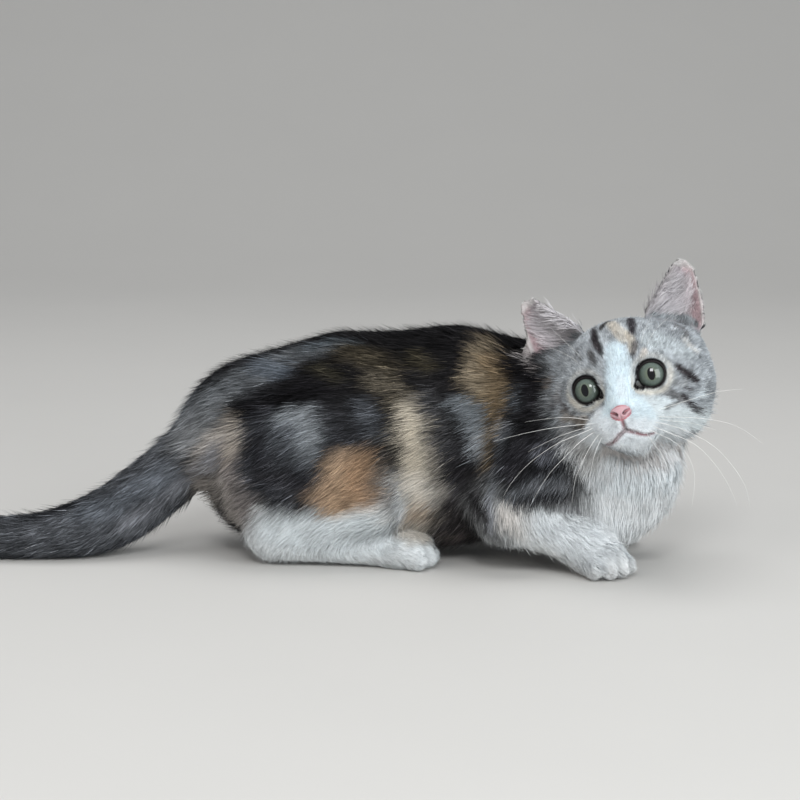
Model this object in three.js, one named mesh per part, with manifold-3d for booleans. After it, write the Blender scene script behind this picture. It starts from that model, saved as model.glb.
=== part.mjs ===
// A life-size, still model of a short-legged kitten, about three months old: it crouches with its
// hind feet flat on the floor, leans on its right forepaw and looks back over its right side.
//
// Millimetres, +Z up, +X towards the breast, +Y to the kitten's left. The model is laid out on a
// floor at Z = 0 and moved sideways at the end, so that the origin is on the floor under its middle.
//
// The kitten is one smooth skin round a list of rounded masses (rib cage, thigh, cheek and so on),
// each given by its place and its size out to the tips of the coat. The skin is turned into
// triangles coarsely for the trunk, limbs and tail and finely for the head and the paws, and is
// then parted into named pieces by thin cuts.

import * as THREE from "three";
import { MarchingCubes } from "three/addons/objects/MarchingCubes.js";
import { SimplifyModifier } from "three/addons/modifiers/SimplifyModifier.js";
import { mergeVertices } from "three/addons/utils/BufferGeometryUtils.js";
import Module from "manifold-3d";

const wasm = await Module();
wasm.setup();

const vec = (x, y, z) => new THREE.Vector3(x, y, z);
const rad = THREE.MathUtils.degToRad;
const sides = [
  { name: "right", sign: -1 },
  { name: "left", sign: 1 },
];

// Driving dimensions
const gap = 0.35; // left between two pieces by each cut
const grain = {
  // Grid step of each part of the skin, and how many triangles it is thinned to.
  body: { cell: 5.6, triangles: 2040 },
  head: { cell: 3, triangles: 1900 },
  paw: { cell: 2.6, triangles: 300 },
};
const eyeballRadius = 8.3;
const eyePlace = { forward: 14.4, aside: 13.3, up: -1 };
const eyeOpening = { radius: 6.6, flare: 1.1, turnOut: 9 };
const lidThickness = 1.2;
const nosePlace = { forward: 31.8, up: -14.2 };
const ear = { height: 29.5, halfWidth: 15.2, splay: 24.8, turnOut: 11, bow: 1.7, root: vec(0, 23.5, 18.5) };

// The head's own frame has +X out of the nose, +Y to the kitten's left and +Z out of the crown.
const headCentre = vec(97.9, -38, 82.9);
const headYaw = rad(-105.8); // turned back over the right shoulder
const headPitch = rad(-10.7); // looking up
const headRoll = rad(16.6); // the left ear higher than the right
const headTurn = new THREE.Quaternion().setFromEuler(
  new THREE.Euler(headRoll, headPitch, headYaw, "ZYX"),
);
const headUnturn = headTurn.clone().invert();

// Signed distances to rounded masses, near enough: negative inside.

function ball(place, radii) {
  const least = Math.min(radii.x, radii.y, radii.z);
  return (px, py, pz) => {
    const x = (px - place.x) / radii.x;
    const y = (py - place.y) / radii.y;
    const z = (pz - place.z) / radii.z;
    const near = Math.hypot(x, y, z);
    const slope = Math.hypot(x / radii.x, y / radii.y, z / radii.z);
    return slope === 0 ? -least : (near * (near - 1)) / slope;
  };
}

// A straight limb whose radius runs evenly from one end to the other.
function limb(from, to, radiusFrom, radiusTo) {
  const along = to.clone().sub(from);
  const lengthSquared = along.lengthSq();
  return (px, py, pz) => {
    const x = px - from.x;
    const y = py - from.y;
    const z = pz - from.z;
    const share = (x * along.x + y * along.y + z * along.z) / lengthSquared;
    const t = Math.min(1, Math.max(0, share));
    const away = Math.hypot(x - along.x * t, y - along.y * t, z - along.z * t);
    return away - radiusFrom - (radiusTo - radiusFrom) * t;
  };
}

// A mass given in a frame of its own, stood at a place and turned about the vertical.
function turned(degrees, place, mass) {
  const c = Math.cos(rad(degrees));
  const s = Math.sin(rad(degrees));
  return (px, py, pz) => {
    const x = px - place.x;
    const y = py - place.y;
    return mass(c * x + s * y, c * y - s * x, pz - place.z);
  };
}

function smoothJoin(a, b, width) {
  const h = Math.max(width - Math.abs(a - b), 0);
  return Math.min(a, b) - (h * h) / (4 * width);
}

// Trunk and neck. Each mass melts into those before it over the width given as blend.

const trunk = [
  { blend: 12, at: ball(vec(-62, 0, 53), vec(36, 32, 35)) }, // rump
  { blend: 8, at: ball(vec(-62, 0, 25), vec(21, 30, 19)) }, // soft hair under the rump
  { blend: 16, at: ball(vec(-22, 0, 55), vec(48, 41, 44.5)) }, // loin
  { blend: 16, at: ball(vec(24, -3, 57.5), vec(48, 43, 45)) }, // rib cage
  { blend: 12, at: ball(vec(14, -2, 33), vec(54, 38, 31)) }, // belly, with its long hair
  { blend: 14, at: ball(vec(60, -10, 56), vec(32, 39, 38)) }, // shoulders
  { blend: 12, at: ball(vec(89.5, -22, 42), vec(35, 33, 35)) }, // breast
  { blend: 12, at: ball(vec(101, -42, 50), vec(20, 19, 16)) }, // throat
  { blend: 12, at: limb(vec(70, -8, 63), vec(101, -16, 69), 29, 27) }, // neck
];

// Legs. Each is posed by its own joints, because the kitten leans and turns to its right.

const legs = {
  right: {
    shoulder: vec(62, -34, 47),
    elbow: vec(45, -43, 27),
    wrist: vec(77, -46, 15),
    forepaw: vec(86.5, -50, 7.6),
    forepawYaw: -58,
    hip: vec(-38, -26, 42),
    knee: vec(-10, -33, 28),
    hock: vec(-55, -27, 13.5),
    hindpaw: vec(2, -34, 7.6),
    hindpawYaw: -8,
  },
  left: {
    shoulder: vec(62, 18, 47),
    elbow: vec(48, 28, 27),
    wrist: vec(84, 16, 14),
    forepaw: vec(94, 10, 7.6),
    forepawYaw: -12,
    hip: vec(-38, 26, 42),
    knee: vec(-10, 33, 28),
    hock: vec(-55, 27, 13.5),
    hindpaw: vec(2, 36, 7.6),
    hindpawYaw: 8,
  },
};

const paw = {
  half: vec(13, 12, 8.8),
  toeHalf: vec(6.5, 4.1, 5.4),
  toeReach: 9, // of the two middle toes, from the middle of the paw
  toeStep: 5.6, // between two toes
  toeDrop: 2.4,
};

// A paw: its pad of fur and four toes in an arc, the outer ones further back and turned out.
function pawMasses(place, yaw) {
  const toes = [-1.5, -0.5, 0.5, 1.5].map((step) => {
    const reach = paw.toeReach - 1.5 * step ** 2;
    const toePlace = vec(reach, step * paw.toeStep, -paw.toeDrop);
    const toe = turned(9 * step, toePlace, ball(vec(0, 0, 0), paw.toeHalf));
    return { blend: 1.5, at: turned(yaw, place, toe) };
  });
  return [{ blend: 5, at: turned(yaw, place, ball(vec(0, 0, 0), paw.half)) }, ...toes];
}

function forelegMasses({ shoulder, elbow, wrist, forepaw, forepawYaw }) {
  return [
    { blend: 12, at: limb(shoulder, elbow, 22, 15) },
    { blend: 8, at: limb(elbow, wrist, 13.5, 10.5) },
    { blend: 7, at: limb(wrist, forepaw, 10.5, 9) },
    ...pawMasses(forepaw, forepawYaw),
  ];
}

function hindlegMasses({ hip, knee, hock, hindpaw, hindpawYaw }) {
  return [
    { blend: 12, at: ball(hip, vec(38, 21, 33)) },
    { blend: 8, at: limb(knee, hock, 15, 11.5) },
    { blend: 7, at: limb(hock, hindpaw, 11.5, 8.5) },
    ...pawMasses(hindpaw, hindpawYaw),
  ];
}

// Tail: a smooth curve through the places where it bends. Past the second it lies on the floor.

const tailCurve = new THREE.CatmullRomCurve3([
  vec(-80, 0, 54),
  vec(-104, -3, 34),
  vec(-128, -10, 17),
  vec(-152, -17, 11),
  vec(-180, -17, 9.3),
  vec(-206, -10, 8.4),
  vec(-226, 0, 7.2),
]);
const tailSteps = 20;
const tailRadius = (t) => 13.8 - 4.4 * THREE.MathUtils.smoothstep(t, 0.28, 0.6) - 3 * t ** 5;
const tail = Array.from({ length: tailSteps }, (_, i) => {
  const t = i / tailSteps;
  const next = (i + 1) / tailSteps;
  const at = limb(tailCurve.getPoint(t), tailCurve.getPoint(next), tailRadius(t), tailRadius(next));
  return { blend: i === 0 ? 12 : 5, at };
});

const bodyMasses = [
  ...trunk,
  ...hindlegMasses(legs.right),
  ...hindlegMasses(legs.left),
  ...forelegMasses(legs.right),
  ...forelegMasses(legs.left),
  ...tail,
];

// Head, in its own frame

const bothSides = (place, radii, blend) =>
  sides.map(({ sign }) => ({ blend, at: ball(vec(place.x, sign * place.y, place.z), radii) }));

const headMasses = [
  { blend: 10, at: ball(vec(-7, 0, 4), vec(29, 29, 24)) }, // skull
  { blend: 9, at: ball(vec(8, 0, 9), vec(14, 21, 15)) }, // forehead
  ...bothSides(vec(-1, 19.5, -5), vec(19, 18.5, 17), 9), // cheeks
  ...bothSides(vec(-2, 17.5, -18), vec(14, 14, 12), 9), // ruff under the cheeks
  ...bothSides(vec(-9, 25.5, 6), vec(11, 9, 10), 8), // temples
  ...bothSides(vec(11, 13.5, -16), vec(12, 11.5, 9.5), 8), // jowls
  ...bothSides(vec(-7, 23.5, 10), vec(8, 7.5, 8), 8), // roots of the ears
  { blend: 9, at: limb(vec(14, 0, 2), vec(29, 0, -12), 9.5, 5.5) }, // bridge of the nose
  ...bothSides(vec(22, 6, -18.5), vec(10.5, 9.5, 7.5), 8), // whisker pads
  { blend: 7, at: ball(vec(21, 0, -25.5), vec(9.5, 8.5, 6)) }, // chin
];
const lidRadius = eyeballRadius + lidThickness;
const lids = bothSides(
  vec(eyePlace.forward, eyePlace.aside, eyePlace.up),
  vec(lidRadius, lidRadius, lidRadius),
  4,
);

const own = vec(0, 0, 0);

function headDistance(x, y, z) {
  own.set(x - headCentre.x, y - headCentre.y, z - headCentre.z).applyQuaternion(headUnturn);
  let d = 1e3;
  for (const { at, blend } of headMasses) d = smoothJoin(d, at(own.x, own.y, own.z), blend);
  for (const { at, blend } of lids) d = smoothJoin(d, at(own.x, own.y, own.z), blend);
  return d;
}

function kittenDistance(x, y, z) {
  let d = 1e3;
  for (const { at, blend } of bodyMasses) d = smoothJoin(d, at(x, y, z), blend);
  return smoothJoin(d, headDistance(x, y, z), 9);
}

// From distances to solids

// A geometry's corners and triangles alone, with each corner shared by the triangles that meet there.
function welded(geometry) {
  const bare = new THREE.BufferGeometry().setAttribute("position", geometry.attributes.position);
  return mergeVertices(bare.setIndex(geometry.index), 1e-4);
}

function solidFrom(geometry) {
  const merged = welded(geometry);
  const triVerts = new Uint32Array(merged.index.array);
  const vertProperties = new Float32Array(merged.attributes.position.array);
  return new wasm.Manifold(new wasm.Mesh({ numProp: 3, vertProperties, triVerts }));
}

function geometryFrom(solid) {
  const { vertProperties, triVerts } = solid.getMesh();
  return new THREE.BufferGeometry()
    .setAttribute("position", new THREE.BufferAttribute(new Float32Array(vertProperties), 3))
    .setIndex(new THREE.BufferAttribute(new Uint32Array(triVerts), 1));
}

// The kitten's skin inside a cube, as triangles. turn lays the grid along a frame of its own.
async function skinIn(middle, halfSide, { cell, triangles }, turn = new THREE.Quaternion()) {
  const steps = Math.ceil((2 * halfSide) / cell);
  const cubes = new MarchingCubes(steps, new THREE.Material(), false, false, 40000);
  cubes.isolation = 0;
  const half = steps / 2;
  const least = 0.06 * cell; // keeps grid corners off the skin, so that no triangle is a sliver
  const rim = 2; // layers left empty all round, which closes the solid
  const at = vec(0, 0, 0);
  for (let k = 0; k < steps; k++)
    for (let j = 0; j < steps; j++)
      for (let i = 0; i < steps; i++) {
        const outside = Math.min(i, j, k) < rim || Math.max(i, j, k) > steps - 1 - rim;
        at.set(i - half, j - half, k - half).multiplyScalar(halfSide / half);
        at.applyQuaternion(turn).add(middle);
        const d = outside ? cell : kittenDistance(at.x, at.y, at.z);
        cubes.field[i + j * steps + k * steps * steps] = Math.abs(d) < least ? -least : -d;
      }
  cubes.update();
  const corners = cubes.positionArray.slice(0, 3 * cubes.count);
  const fine = welded(
    new THREE.BufferGeometry()
      .setAttribute("position", new THREE.BufferAttribute(corners, 3))
      .scale(halfSide, halfSide, halfSide)
      .applyQuaternion(turn)
      .translate(middle.x, middle.y, middle.z),
  );
  const share = Math.min(1, (3 * triangles) / fine.index.count);
  const spare = Math.round(fine.attributes.position.count * (1 - share));
  return solidFrom(await new SimplifyModifier().modify(fine, spare));
}

// Cutters are plain convex shapes, each made larger by the gap for the cut than for the piece.

// A box between two corners of a frame that stands at place and is turned as given.
function block(low, high, place = vec(0, 0, 0), turn = new THREE.Quaternion()) {
  return (grow) => {
    const size = high.clone().sub(low).addScalar(2 * grow);
    const middle = low.clone().add(high).multiplyScalar(0.5);
    const shape = new THREE.BoxGeometry(size.x, size.y, size.z);
    shape.translate(middle.x, middle.y, middle.z).applyQuaternion(turn);
    return solidFrom(shape.translate(place.x, place.y, place.z));
  };
}

// A drum that stands across the kitten, its inner end at y.
function drum(x, z, radius, y, sign) {
  return (grow) => {
    const length = 80;
    const shape = new THREE.CylinderGeometry(radius + grow, radius + grow, length + 2 * grow, 26);
    return solidFrom(shape.translate(x, y + (sign * length) / 2, z));
  };
}

// A cushion in the head's frame: an ellipsoid with squarer sides.
function cushion(middle, radii) {
  return (grow) => {
    const shape = new THREE.SphereGeometry(1, 14, 10);
    const at = shape.attributes.position;
    for (let i = 0; i < at.count; i++) {
      const norm = (at.getX(i) ** 4 + at.getY(i) ** 4 + at.getZ(i) ** 4) ** 0.25;
      at.setXYZ(
        i,
        middle.x + ((radii.x + grow) * at.getX(i)) / norm,
        middle.y + ((radii.y + grow) * at.getY(i)) / norm,
        middle.z + ((radii.z + grow) * at.getZ(i)) / norm,
      );
    }
    return solidFrom(toHead(shape));
  };
}

const aboutZ = (degrees) => new THREE.Quaternion().setFromAxisAngle(vec(0, 0, 1), rad(degrees));
const far = 300;

// A length of the tail: a box along the curve from one share of it to another.
function tailBlock(from, to) {
  const start = tailCurve.getPoint(from);
  const end = tailCurve.getPoint(to);
  const turn = new THREE.Quaternion().setFromUnitVectors(
    vec(1, 0, 0),
    end.clone().sub(start).normalize(),
  );
  return block(vec(0, -22, -22), vec(start.distanceTo(end) + 12, 22, 22), start, turn);
}

// Eyes, nose and ears, each made in the head's frame

const toHead = (geometry) =>
  geometry.applyQuaternion(headTurn).translate(headCentre.x, headCentre.y, headCentre.z);

function eyeSolid(sign, grow) {
  const shape = new THREE.SphereGeometry(eyeballRadius + grow, 14, 10);
  return solidFrom(
    toHead(shape.translate(eyePlace.forward, sign * eyePlace.aside, eyePlace.up)),
  );
}

// The opening between the lids: a cone that widens outwards along the eye's own axis.
function openingSolid(sign) {
  const length = 14;
  const { radius, flare, turnOut } = eyeOpening;
  const shape = new THREE.CylinderGeometry(radius + 2 * flare, radius, length, 18);
  shape.rotateZ(rad(-90)).translate(length / 2 + 3.5, 0, 0).rotateZ(rad(sign * turnOut));
  return solidFrom(
    toHead(shape.translate(eyePlace.forward, sign * eyePlace.aside, eyePlace.up)),
  );
}

// The nose leather: a flattened ball, broad above and drawn to a point below.
function noseSolid(grow) {
  const half = vec(4.2 + grow, 5.2 + grow, 4.2 + grow);
  const shape = new THREE.SphereGeometry(1, 12, 8);
  const at = shape.attributes.position;
  for (let i = 0; i < at.count; i++) {
    const z = at.getZ(i);
    const narrow = z < 0 ? 1 + 0.6 * z : 1 - 0.12 * z * z;
    at.setXYZ(i, at.getX(i) * half.x, at.getY(i) * half.y * narrow, z * half.z);
  }
  return solidFrom(toHead(shape.translate(nosePlace.forward, 0, nosePlace.up)));
}

// An ear: a lens of fur bent round the ear's long axis into a cup that opens forwards.
function earSolid(sign, grow) {
  const shape = new THREE.SphereGeometry(1, 14, 11);
  const at = shape.attributes.position;
  const buried = 9;
  const thickness = 1.6 + grow;
  for (let i = 0; i < at.count; i++) {
    const up = at.getY(i);
    const rim = Math.sqrt(Math.max(1e-9, 1 - up * up));
    const across = THREE.MathUtils.clamp(at.getX(i) / rim, -1, 1) * Math.min(1, 2.5 * rim);
    const height = (up + 1) / 2;
    const width = ear.halfWidth * Math.cos(1.5 * Math.max(0, height - 0.16) ** 0.92);
    const bend = rad(74 - 26 * height) * across;
    const back = width * (1 - 0.4 * height) * (Math.cos(bend) - 0.3);
    const reach = (ear.height + buried) * height - buried;
    const bow = sign * ear.bow * 4 * height * (1 - height); // the outer edge curves outwards
    at.setXYZ(i, at.getZ(i) * thickness - back, (width + grow) * Math.sin(bend) + bow, reach);
  }
  shape.rotateZ(rad(sign * ear.turnOut));
  shape.rotateX(rad(-sign * ear.splay));
  shape.translate(ear.root.x, sign * ear.root.y, ear.root.z);
  return solidFrom(toHead(shape));
}

// Building the pieces. Each is cut from what is left of the skin, and the cut is widened by the gap.

const colours = {
  black: 0x2e2c2d,
  silver: 0x8d8f91,
  grey: 0x55565a,
  orange: 0xa66f45,
  white: 0xe4e6e6,
  pink: 0xd9909a,
  iris: 0x7f8d7a,
};
const kitten = new THREE.Group();

function addPiece(name, solid, colour, roughness = 0.9) {
  const largest = solid.decompose().sort((a, b) => b.volume() - a.volume())[0];
  const material = new THREE.MeshStandardMaterial({ color: colours[colour], roughness });
  const mesh = new THREE.Mesh(geometryFrom(largest), material);
  mesh.name = name;
  kitten.add(mesh);
}

const floorUp = block(vec(-far, -far, 0), vec(far, far, far))(0);
let rest = (await skinIn(vec(-47, -12, 60), 196, grain.body)).intersect(floorUp);

function take(name, cutter, colour) {
  addPiece(name, rest.intersect(cutter(0)), colour);
  rest = rest.subtract(cutter(gap));
}

const headCushion = cushion(vec(3, 0, 0), vec(41, 41, 35));
const headSkin = await skinIn(headCentre, 56, grain.head, headTurn);
let face = headSkin.intersect(headCushion(0));
rest = rest.subtract(headCushion(gap));
for (const { name, sign } of sides) {
  addPiece(`eye_${name}`, eyeSolid(sign, 0), "iris", 0.1);
  face = face.subtract(eyeSolid(sign, gap)).subtract(openingSolid(sign));
  addPiece(`ear_${name}`, earSolid(sign, 0).subtract(headSkin), "silver");
  rest = rest.subtract(earSolid(sign, gap));
}
addPiece("nose", noseSolid(0), "pink", 0.5);
addPiece("head", face.subtract(noseSolid(gap)), "silver");

async function takePaw(name, place, yaw) {
  const cutter = block(vec(-9, -14.5, -10), vec(24, 14.5, 11), place, aboutZ(yaw));
  const skin = (await skinIn(place, 34, grain.paw)).intersect(floorUp);
  addPiece(name, skin.intersect(cutter(0)), "white");
  rest = rest.subtract(cutter(gap));
}

take("tail_tip", tailBlock(0.74, 1), "grey");
take("tail_middle", tailBlock(0.4, 0.74), "grey");
take("tail_base", tailBlock(0.09, 0.42), "grey");
for (const { name, sign } of sides) {
  const leg = legs[name];
  const outwards = (inner) => [Math.min(sign * inner, sign * 90), Math.max(sign * inner, sign * 90)];
  const [low, high] = outwards(13);
  await takePaw(`forepaw_${name}`, leg.forepaw, leg.forepawYaw);
  await takePaw(`hindpaw_${name}`, leg.hindpaw, leg.hindpawYaw);
  take(`shank_${name}`, block(vec(-95, low, -5), vec(0, high, 21)), "white");
  take(`thigh_${name}`, drum(-38, 42, 40, sign * 24, sign), "grey");
  take(`foreleg_${name}`, drum(56, 31, 36, leg.shoulder.y - sign * 4, sign), "grey");
}
take("neck", block(vec(66, -90, 58), vec(far, far, far)), "black");
take("breast", block(vec(72, -90, -5), vec(far, far, far)), "white");
take("rump", block(vec(-far, -90, -5), vec(-46, 90, far)), "silver");
take("rib_cage", block(vec(12, -90, -5), vec(far, 90, far)), "black");
addPiece("loin", rest, "orange");

const middle = new THREE.Box3().setFromObject(kitten).getCenter(vec(0, 0, 0));
kitten.position.set(-middle.x, -middle.y, 0);

export default kitten;
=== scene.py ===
import math

import bpy
import numpy as np
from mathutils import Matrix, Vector
from mathutils.kdtree import KDTree


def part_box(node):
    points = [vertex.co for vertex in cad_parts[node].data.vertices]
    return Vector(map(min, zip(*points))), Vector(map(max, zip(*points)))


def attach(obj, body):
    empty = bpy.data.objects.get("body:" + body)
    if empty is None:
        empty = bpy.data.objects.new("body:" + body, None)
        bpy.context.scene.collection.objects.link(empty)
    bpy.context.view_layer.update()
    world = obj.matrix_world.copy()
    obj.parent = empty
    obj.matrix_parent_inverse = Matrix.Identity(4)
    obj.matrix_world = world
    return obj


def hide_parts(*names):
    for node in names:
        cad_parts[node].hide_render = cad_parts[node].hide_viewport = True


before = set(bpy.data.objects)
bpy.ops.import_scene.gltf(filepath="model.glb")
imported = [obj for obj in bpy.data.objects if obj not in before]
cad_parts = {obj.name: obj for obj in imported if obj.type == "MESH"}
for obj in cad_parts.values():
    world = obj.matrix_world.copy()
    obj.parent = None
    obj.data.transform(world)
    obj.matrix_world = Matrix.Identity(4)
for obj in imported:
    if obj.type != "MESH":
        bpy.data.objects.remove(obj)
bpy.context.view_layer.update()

# Shapes below are worked out in millimetres from the middle of the trunk, on the floor.
metre = 0.001
headCentre = np.array([97.9, -38, 82.9])
headAngles = (-105.8, -10.7, 16.6)  # yaw, pitch and roll in degrees
eye = {"radius": 8.3, "forward": 14.4, "aside": 13.3, "up": -1.0, "turnOut": 9, "opening": 5.5, "corner": 1.9}


def eyeCentre(sign):  # in the head's frame; sign is -1 on the animal's right and 1 on its left
    return np.array([eye["forward"], sign * eye["aside"], eye["up"]])


def turnMatrix(yaw, pitch, roll):
    cz, sz, cy, sy, cx, sx = (f(math.radians(a)) for a in (yaw, pitch, roll) for f in (math.cos, math.sin))
    aboutZ = np.array([[cz, -sz, 0], [sz, cz, 0], [0, 0, 1]])
    aboutY = np.array([[cy, 0, sy], [0, 1, 0], [-sy, 0, cy]])
    aboutX = np.array([[1, 0, 0], [0, cx, -sx], [0, sx, cx]])
    return aboutZ @ aboutY @ aboutX


headTurn = turnMatrix(*headAngles)  # columns: out of the nose, to the left, out of the crown


def toHead(points):
    return (points - headCentre) @ headTurn


def fromHead(points):
    return np.asarray(points, float) @ headTurn.T + headCentre


# The frame's own place for the right eyeball tells how far the shapes stand from its origin.
eyeBox = np.array(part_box("eye_right")) / metre
home = eyeBox.mean(0) - fromHead(eyeCentre(-1))
home[2] = 0


def toRow(points):  # millimetres from the trunk's middle to metres in the frame
    return (np.asarray(points, float) + home) * metre


def fromRow(points):
    return np.asarray(points, float) / metre - home


def activate(piece):
    if bpy.context.object and bpy.context.object.mode != "OBJECT":
        bpy.ops.object.mode_set(mode="OBJECT")
    bpy.ops.object.select_all(action="DESELECT")
    piece.select_set(True)
    bpy.context.view_layer.objects.active = piece


def applyAll(piece):
    activate(piece)
    for modifier in list(piece.modifiers):
        bpy.ops.object.modifier_apply(modifier=modifier.name)


def readPoints(mesh):
    flat = np.empty(len(mesh.vertices) * 3)
    mesh.vertices.foreach_get("co", flat)
    return flat.reshape(-1, 3)


def writePoints(mesh, points):
    mesh.vertices.foreach_set("co", np.asarray(points, np.float32).ravel())
    mesh.update()


def readNormals(mesh):
    flat = np.empty(len(mesh.vertices) * 3)
    mesh.vertices.foreach_get("normal", flat)
    return flat.reshape(-1, 3)


def link(name, data):  # a new object in the scene
    piece = bpy.data.objects.new(name, data)
    bpy.context.scene.collection.objects.link(piece)
    return piece


def faceOutwards(piece):
    activate(piece)
    bpy.ops.object.mode_set(mode="EDIT")
    bpy.ops.mesh.select_all(action="SELECT")
    bpy.ops.mesh.normals_make_consistent(inside=False)
    bpy.ops.object.mode_set(mode="OBJECT")
    bpy.ops.object.shade_smooth()


def unit(vectors):
    return vectors / np.maximum(np.linalg.norm(vectors, axis=-1, keepdims=True), 1e-9)


def ramp(value, low, high):  # smooth from 0 at low to 1 at high
    t = np.clip((value - low) / (high - low), 0, 1)
    return t * t * (3 - 2 * t)


def bump(value, middle, width):  # 1 at the middle, falling away on both sides
    return np.exp(-(((value - middle) / width) ** 2))


def mixed(first, second, share):  # share is how much of the second each point takes
    if np.ndim(first) > 1:
        share = share[:, None]
    return first * (1 - share) + second * share


def linear(rgb):  # a screen colour in 0 to 255 as light
    c = np.asarray(rgb, float) / 255
    return np.where(c <= 0.04045, c / 12.92, ((c + 0.055) / 1.055) ** 2.4)


def newSphere(name, segments, rings):  # of radius 1, with its pole along z
    bpy.ops.mesh.primitive_uv_sphere_add(segments=segments, ring_count=rings, radius=1, location=(0, 0, 0))
    piece = bpy.context.object
    piece.name = name
    return piece, piece.data, unit(readPoints(piece.data))


def tube(name, path, radii, closed=False, resolution=3, sides=3):
    # A round strand along a path in millimetres, made as a curve and turned into a mesh.
    curve = bpy.data.curves.new(name, "CURVE")
    curve.dimensions = "3D"
    curve.bevel_depth = 1.0
    curve.bevel_resolution = sides
    curve.use_fill_caps = True
    curve.resolution_u = resolution
    spline = curve.splines.new("POLY" if closed else "NURBS")
    spline.points.add(len(path) - 1)
    for point, place, radius in zip(spline.points, toRow(path), radii):
        point.co = (*place, 1)
        point.radius = radius * metre
    if not closed:
        spline.order_u = 3
        spline.use_endpoint_u = True
    spline.use_cyclic_u = closed
    activate(link(name, curve))
    bpy.ops.object.convert(target="MESH")
    piece = bpy.context.object
    bpy.ops.object.mode_set(mode="EDIT")
    bpy.ops.mesh.select_all(action="SELECT")
    bpy.ops.mesh.remove_doubles(threshold=1e-6)
    bpy.ops.object.mode_set(mode="OBJECT")
    faceOutwards(piece)
    return piece


def joinPieces(pieces, name):
    bpy.ops.object.select_all(action="DESELECT")
    for piece in pieces:
        piece.select_set(True)
    bpy.context.view_layer.objects.active = pieces[0]
    bpy.ops.object.join()
    pieces[0].name = pieces[0].data.name = name
    return pieces[0]


# Camera, light and floor

studio = {
    "lens": 115.9,
    "clipStart": 0.05,
    "camera": (0, -1132.5, 267.7),  # millimetres, as the shapes
    "target": (0, 0, 68),
    "lightTarget": (0.06, 0.0, 0.05),  # metres, as the lamps
    "mirrored": ("keyLight", "windowLight"),  # the eyes mirror these two alone
    "worldTone": (0.86, 0.89, 0.93, 1),
    "worldStrength": 0.34,
}
softboxes = [  # name, place in metres, width, height, power, tint
    ("keyLight", (0.02, -1.15, 1.05), 0.45, 0.45, 8, (0.975, 0.988, 1.0)),
    ("windowLight", (0.98, -1.08, 0.5), 0.95, 1.4, 17, (0.93, 0.975, 1.0)),
    ("fillLight", (-1.1, -0.9, 0.8), 1.0, 1.0, 6, (1.0, 0.985, 0.96)),
    ("topLight", (0.0, 0.2, 1.4), 1.0, 1.0, 9, (0.98, 0.99, 1.0)),
]
sweep = {  # the floor, which rises behind the model; metres
    "size": 7, "middle": (0, -1.4, 0), "rise": 3.5, "bend": 1.2, "segments": 24,
    "tone": (0.6, 0.585, 0.56), "darker": 0.965, "grain": 9, "roughness": 0.62,
}


def aim(thing, place, target):
    thing.location = place
    thing.rotation_euler = (Vector(target) - Vector(place)).to_track_quat("-Z", "Y").to_euler()


def buildLights():
    for name, place, width, height, power, tint in softboxes:
        light = bpy.data.lights.new(name, "AREA")
        light.shape = "RECTANGLE"
        light.size = width
        light.size_y = height
        light.energy = power
        light.color = tint
        lamp = link(name, light)
        lamp.visible_glossy = name in studio["mirrored"]
        aim(lamp, place, studio["lightTarget"])
    world = bpy.data.worlds.new("studioWorld")
    world.use_nodes = True
    background = world.node_tree.nodes["Background"]
    background.inputs["Color"].default_value = studio["worldTone"]
    background.inputs["Strength"].default_value = studio["worldStrength"]
    bpy.context.scene.world = world
    bpy.context.scene.view_settings.view_transform = "Standard"


def buildFloor():
    bpy.ops.mesh.primitive_plane_add(size=sweep["size"], location=sweep["middle"])
    floor = bpy.context.object
    floor.name = "studioFloor"
    bpy.ops.object.transform_apply(location=True)
    bpy.ops.object.mode_set(mode="EDIT")
    bpy.ops.mesh.select_mode(type="EDGE")
    bpy.ops.mesh.select_all(action="DESELECT")
    bpy.ops.object.mode_set(mode="OBJECT")
    for edge in floor.data.edges:
        edge.select = all(floor.data.vertices[v].co.y > 1 for v in edge.vertices)
    bpy.ops.object.mode_set(mode="EDIT")
    bpy.ops.mesh.extrude_region_move(TRANSFORM_OT_translate={"value": (0, 0, sweep["rise"])})
    bpy.ops.object.mode_set(mode="OBJECT")
    curve = floor.modifiers.new("curve", "BEVEL")
    curve.width = sweep["bend"]
    curve.segments = sweep["segments"]
    curve.limit_method = "ANGLE"
    applyAll(floor)
    bpy.ops.object.shade_smooth()
    material, shader, nodes, links = newMaterial("paleFloor", sweep["roughness"])
    noise = addNoise(nodes, links, sweep["grain"], 3)
    darker = [c * sweep["darker"] for c in sweep["tone"]]
    mix = addMix(nodes, links, noise.outputs["Fac"], sweep["tone"], darker)
    links.new(mix, shader.inputs["Base Color"])
    floor.data.materials.append(material)
    floor.visible_glossy = False  # keeps the floor out of the pupils


def buildStudio():
    cameraData = bpy.data.cameras.new("photoCamera")
    cameraData.lens = studio["lens"]
    cameraData.clip_start = studio["clipStart"]
    camera = link("photoCamera", cameraData)
    aim(camera, toRow(studio["camera"]), toRow(studio["target"]))
    bpy.context.scene.camera = camera
    buildLights()
    buildFloor()
    print("studio built")


# Material helpers


def newMaterial(name, roughness):
    material = bpy.data.materials.new(name)
    material.use_nodes = True
    nodes, links = material.node_tree.nodes, material.node_tree.links
    shader = nodes["Principled BSDF"]
    shader.inputs["Roughness"].default_value = roughness
    return material, shader, nodes, links


def addNoise(nodes, links, scale, detail, stretch=(1, 1, 1)):
    place = nodes.new("ShaderNodeTexCoord")
    mapping = nodes.new("ShaderNodeMapping")
    mapping.inputs["Scale"].default_value = stretch
    noise = nodes.new("ShaderNodeTexNoise")
    noise.inputs["Scale"].default_value = scale
    noise.inputs["Detail"].default_value = detail
    links.new(place.outputs["Object"], mapping.inputs["Vector"])
    links.new(mapping.outputs["Vector"], noise.inputs["Vector"])
    return noise


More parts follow.
